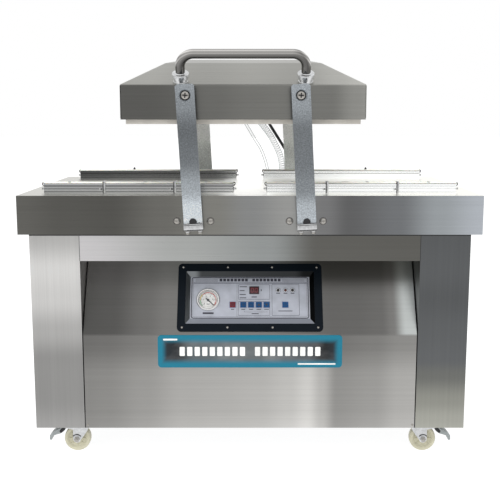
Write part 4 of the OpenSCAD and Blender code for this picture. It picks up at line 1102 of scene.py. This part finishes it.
CASTER_X, CASTER_Y, TRAIL, AXLE_Z = 477, 258, 20, 37.5
for corner, sx, sy in (
        ("front_left", -1, -1), ("front_right", 1, -1), ("rear_left", -1, 1), ("rear_right", 1, 1)):
    swivel = Vector((sx * CASTER_X, sy * CASTER_Y, 0)) * MM
    axle = frame_of(swivel + Vector((sx * TRAIL, 0, AXLE_Z)) * MM, X, -Y)
    wheel = Piece("wheel_turned_" + corner, "nylon", "zinc")
    half = [(5.05, -13.8), (10.4, -13.8), (11.6, -12.6), (13.2, -8.6), (15.6, -8.0), (23.5, -8.4),
        (27.6, -11.8), (29.4, -12.6), (34.2, -12.4), (36.6, -10.6), (37.4, -6), (37.5, 0)]
    profile = half + [(r, -z) for r, z in reversed(half[:-1])]
    wheel.turn(profile, 1.2, 72, axle)
    for k in range(8):
        for f in (-1, 1):
            spoke = axle @ about("Z", 45 * k) @ Matrix.Diagonal((1, 1, f, 1))
            wheel.box((14, -0.9, 7.4), (25, 0.9, 9.8), 0.4, spoke)
    for f in (-1, 1):
        wheel.add(plate(disc(9.2, 36), 13.4, 14.1, 0.2, [disc(5.2, 36)]),
            axle @ Matrix.Diagonal((1, 1, f, 1)), 1)
    wheel.ride("wheel_" + corner, "wheel_" + corner, slot="nylon_wheel")

    fittings = Piece("caster_fittings_" + corner, "zinc", "black", "screw")
    for f in (-1, 1):
        side = axle @ about("X", 180 if f < 0 else 0)
        fittings.puck(9.8, 18.4, 19.4, 0.2, 40, side)
        fittings.turn([(0, 19.4), (8.2, 19.4), (8.2, 24), (6.8, 25), (4.4, 25), (4.4, 26.6), (3.6, 27.4),
            (0, 27.4)], 0.4, 6, side, 2)
        arch = [polar(15, a) for a in range(35, 146, 10)] + [polar(12, a) for a in range(145, 34, -10)]
        fittings.add(plate(arch, 18.3, 19.0, 0.2), side, 1)
    race = Matrix.Translation(swivel)
    fittings.turn([(0, 84), (23, 84), (25.5, 86), (25.5, 88.4), (22, 89.2), (0, 89.2)], 0.8, 56, race)
    fittings.turn([(0, 89.3), (27, 89.3), (29, 91), (29, 93.5), (0, 93.5)], 0.8, 56, race)
    for a in range(0, 360, 30):
        ball = about("Z", a) @ at(23.5, 0, 89.2)
        fittings.turn([(0, 2), (1.4, 1.4), (2, 0), (1.4, -1.4), (0, -2)], 0, 10, race @ ball, 2)
    fittings.ride("caster_" + corner, slot="bright_zinc")
    if sy < 0:
        pad = Piece("brake_shoe_" + corner, "black")
        shoe = [(46, 79), (56, 79), (61, 72.5), (67, 65.5), (71, 59), (67, 53.2), (61.2, 57.8), (56, 62.4),
            (53.4, 67.4), (49.4, 68), (45.8, 74)]
        sides_swapped = Matrix.Diagonal((sx, 1, 1, 1))
        pad.add(plate(shoe, -14.6, 14.6, 0.4), Matrix.Translation(swivel) @ sides_swapped @ FACING)
        pad.ride("brake_" + corner.split("_")[1], slot="pedal_grey")

# ---------- hoses and the lid's cable ----------

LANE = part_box("hose_thick")[0].y + 10 * MM
HALVES_MEET = 0.830                  # the height where a hose's two halves meet, in metres
WIRE_PITCH, WIRE_STEPS = 0.0075, 14
# Each route runs down in the plane behind the rear arms, in mm of x and height.
ROUTES = {
    "hose_thin": (5, "hose_fine", [
        (-52, 991), (-52, 982), (-45, 963), (-30, 945), (-14, 924), (17, 872), (36, 842), (51, 806),
        (61, 770), (68, 730), (72, 690), (72, 660), (72, 640)]),
    "hose_thick": (10, "hose", [
        (2, 991), (2, 982), (9, 961), (26, 940), (43, 922), (69, 888), (87, 856), (101, 827), (109, 799),
        (112, 760), (112, 720), (112, 680), (112, 640)]),
    "lid_cable": (5, "rubber", [
        (38, 991), (38, 982), (44, 963), (56, 943), (69, 922), (95, 881), (120, 841), (140, 800), (150, 760),
        (155, 720), (156, 680), (156, 640)]),
}
for node, (radius, skin, route) in ROUTES.items():
    line = curve_through([(x * MM, LANE, z * MM) for x, z in route], 6)
    middle = min(range(len(line)), key=lambda i: abs(line[i].z - HALVES_MEET))
    for part, points, bodies in (("lower", line[middle:], ("right_arms", "cabinet")),
            ("upper", line[:middle + 1], ("lid", "right_arms"))):
        hose = Piece(node + "_" + part, skin).add(tube(points, radius, 24, 1)).make(50)
        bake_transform(hose)
        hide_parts(node)
        length = sum((b - a).length for a, b in zip(points, points[1:]))
        if node == "hose_thick":
            count = int(length / WIRE_PITCH) * WIRE_STEPS
            wire_line = []
            samples = curve_through(points, 8)
            reach = [0.0]
            for a, b in zip(samples, samples[1:]):
                reach.append(reach[-1] + (b - a).length)
            for k in range(count + 1):
                want = length * 0.996 * k / count
                i = min(max(j for j in range(len(reach)) if reach[j] <= want + 1e-9), len(samples) - 2)
                t = (samples[i + 1] - samples[i]).normalized()
                side = t.cross(Y).normalized()
                x, y = polar(9.9 * MM, 360 * k / WIRE_STEPS)
                wire_line.append(samples[i] + t * (want - reach[i]) + side * x + Y * y)
            wire = Piece(node + "_wire_" + part, "wire").add(tube(wire_line, 0.5, 6, 1)).make(60)
            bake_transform(wire)

collars = Piece("hose_collars_lid", "black", "zinc")
low_collars = Piece("hose_collars_cabinet", "black", "zinc")
for node, (radius, skin, route) in ROUTES.items():
    for end, holder, flip in ((route[0], collars, 1), (route[-1], low_collars, -1)):
        mouth = frame_of((end[0] * MM, LANE, end[1] * MM), X, Z * flip)
        holder.turn([(0, -14), (radius + 0.6, -14), (radius + 2.2, -11), (radius + 2.2, 2), (radius + 1.2, 3),
            (0, 3)], 0.8, 32, mouth)
        holder.puck(radius + 3, -9, -4, 0.5, 32, mouth, 1)
        holder.box((radius + 1, -3, -9.4), (radius + 7, 3, -3.6), 0.6, mouth, 1)
collars.ride("lid", slot="black_fitting")
low_collars.ride("cabinet", slot="black_fitting")

springs = Piece("spring_coils", "spring")
for side, e in SHAFT_ENDS:
    seat = frame_of((SHAFT[side].x, e * 220 * MM, SHAFT[side].z), X, e * Y)
    coil = [(*polar(25, 15 * k), 4 + 8.6 * k / 24) for k in range(245)]
    springs.add(tube(coil, 3.9, 10), seat)
springs.ride("cabinet", "balance_springs", slot="spring_steel")

# ---------- rear ----------

hoods = Piece("louvre_hoods", "rear")
for row in range(8):
    for x in (-330, -210, -90):
        spot = out_from((x * MM, rear_hi.y, (180 + row * 18) * MM), 1)
        bm = bmesh.new()
        rings = []
        for u, swell in (
                (-47, 0.05), (-45, 0.6), (-41, 0.9), (-35, 1), (35, 1), (41, 0.9), (45, 0.6), (47, 0.05)):
            arch = [(u, -3.2 + 8.2 * t / 6, polar(3.6 * swell, 15 * t)[0]) for t in range(7)]
            rings.append(spots(bm, arch + [(u, -3.2, 0)]))
        for a, b in zip(rings, rings[1:]):
            for k in range(6):
                bm.faces.new((a[k], a[k + 1], b[k + 1], b[k]))
        hoods.add(bm, spot)
hoods.ride("cabinet", slot="brushed_stainless")

# ---------- floor, light and camera ----------

world = bpy.data.worlds.new("studio")
bpy.context.scene.world = world
world.use_nodes = True
sky = world.node_tree
sky.nodes.clear()
height = add_node(sky, "Math", {0: one_of(sky, "Generated", "Z"), 1: 0.5, 2: 0.5},
                  operation="MULTIPLY_ADD").outputs[0]
front_room = ramp(sky, height, [(0, 0.95), (0.30, 0.95), (0.42, 0.60), (0.50, 0.50), (0.60, 0.62),
    (0.80, 0.95), (1, 0.75)])
rear_room = ramp(sky, height, [(0, 0.95), (0.42, 0.85), (0.5, 1.0), (1, 0.75)])
behind = between(sky, one_of(sky, "Generated", "Y"), -0.3, 0.4)
room = mixed(sky, front_room, rear_room, behind)
seen = add_node(sky, "LightPath").outputs["Is Camera Ray"]
tone = mixed(sky, room, (1.0, 1.0, 1.0), seen)
background = add_node(sky, "Background", {"Color": tone, "Strength": 1.0})
add_node(sky, "OutputWorld", {"Surface": background.outputs[0]})


def lamp(name, where, look_at, size, power):
    """A rectangular area light that doesn't show in reflections."""
    light = bpy.data.lights.new(name, "AREA")
    light.shape, light.size, light.size_y, light.energy = "RECTANGLE", size[0], size[1], power
    obj = linked(name, light)
    obj.location = where
    obj.rotation_euler = (Vector(look_at) - Vector(where)).to_track_quat("-Z", "Y").to_euler()
    obj.visible_glossy = False


lamp("overhead", (0, -0.4, 3.2), (0, 0, 0), (4.5, 4.5), 90)
lamp("front_left", (-2.2, -2.6, 2.0), (0, 0, 0.6), (1.6, 2.2), 22)

floor_bm = bmesh.new()
bmesh.ops.create_grid(floor_bm, x_segments=1, y_segments=1, size=30)
floor_mesh = bpy.data.meshes.new("floor")
floor_bm.to_mesh(floor_mesh)
floor_bm.free()
floor_mesh.materials.append(new_material("floor_white", (0.30, 0.30, 0.30), 0.0, 0.9,
    emission_color=(1, 1, 1, 1), emission_strength=0.88)[0])
floor = linked("floor", floor_mesh)
floor.visible_glossy = False

LOOKS_DOWN = 9.06                    # degrees
camera = linked("camera", bpy.data.cameras.new("camera"))
camera.location = (0, -2.656, 0.967)
camera.rotation_euler = (math.radians(90 - LOOKS_DOWN), 0, 0)
camera.data.lens, camera.data.sensor_width = 62.53, 36
bpy.context.scene.camera = camera
bpy.context.scene.view_settings.view_transform = "Standard"
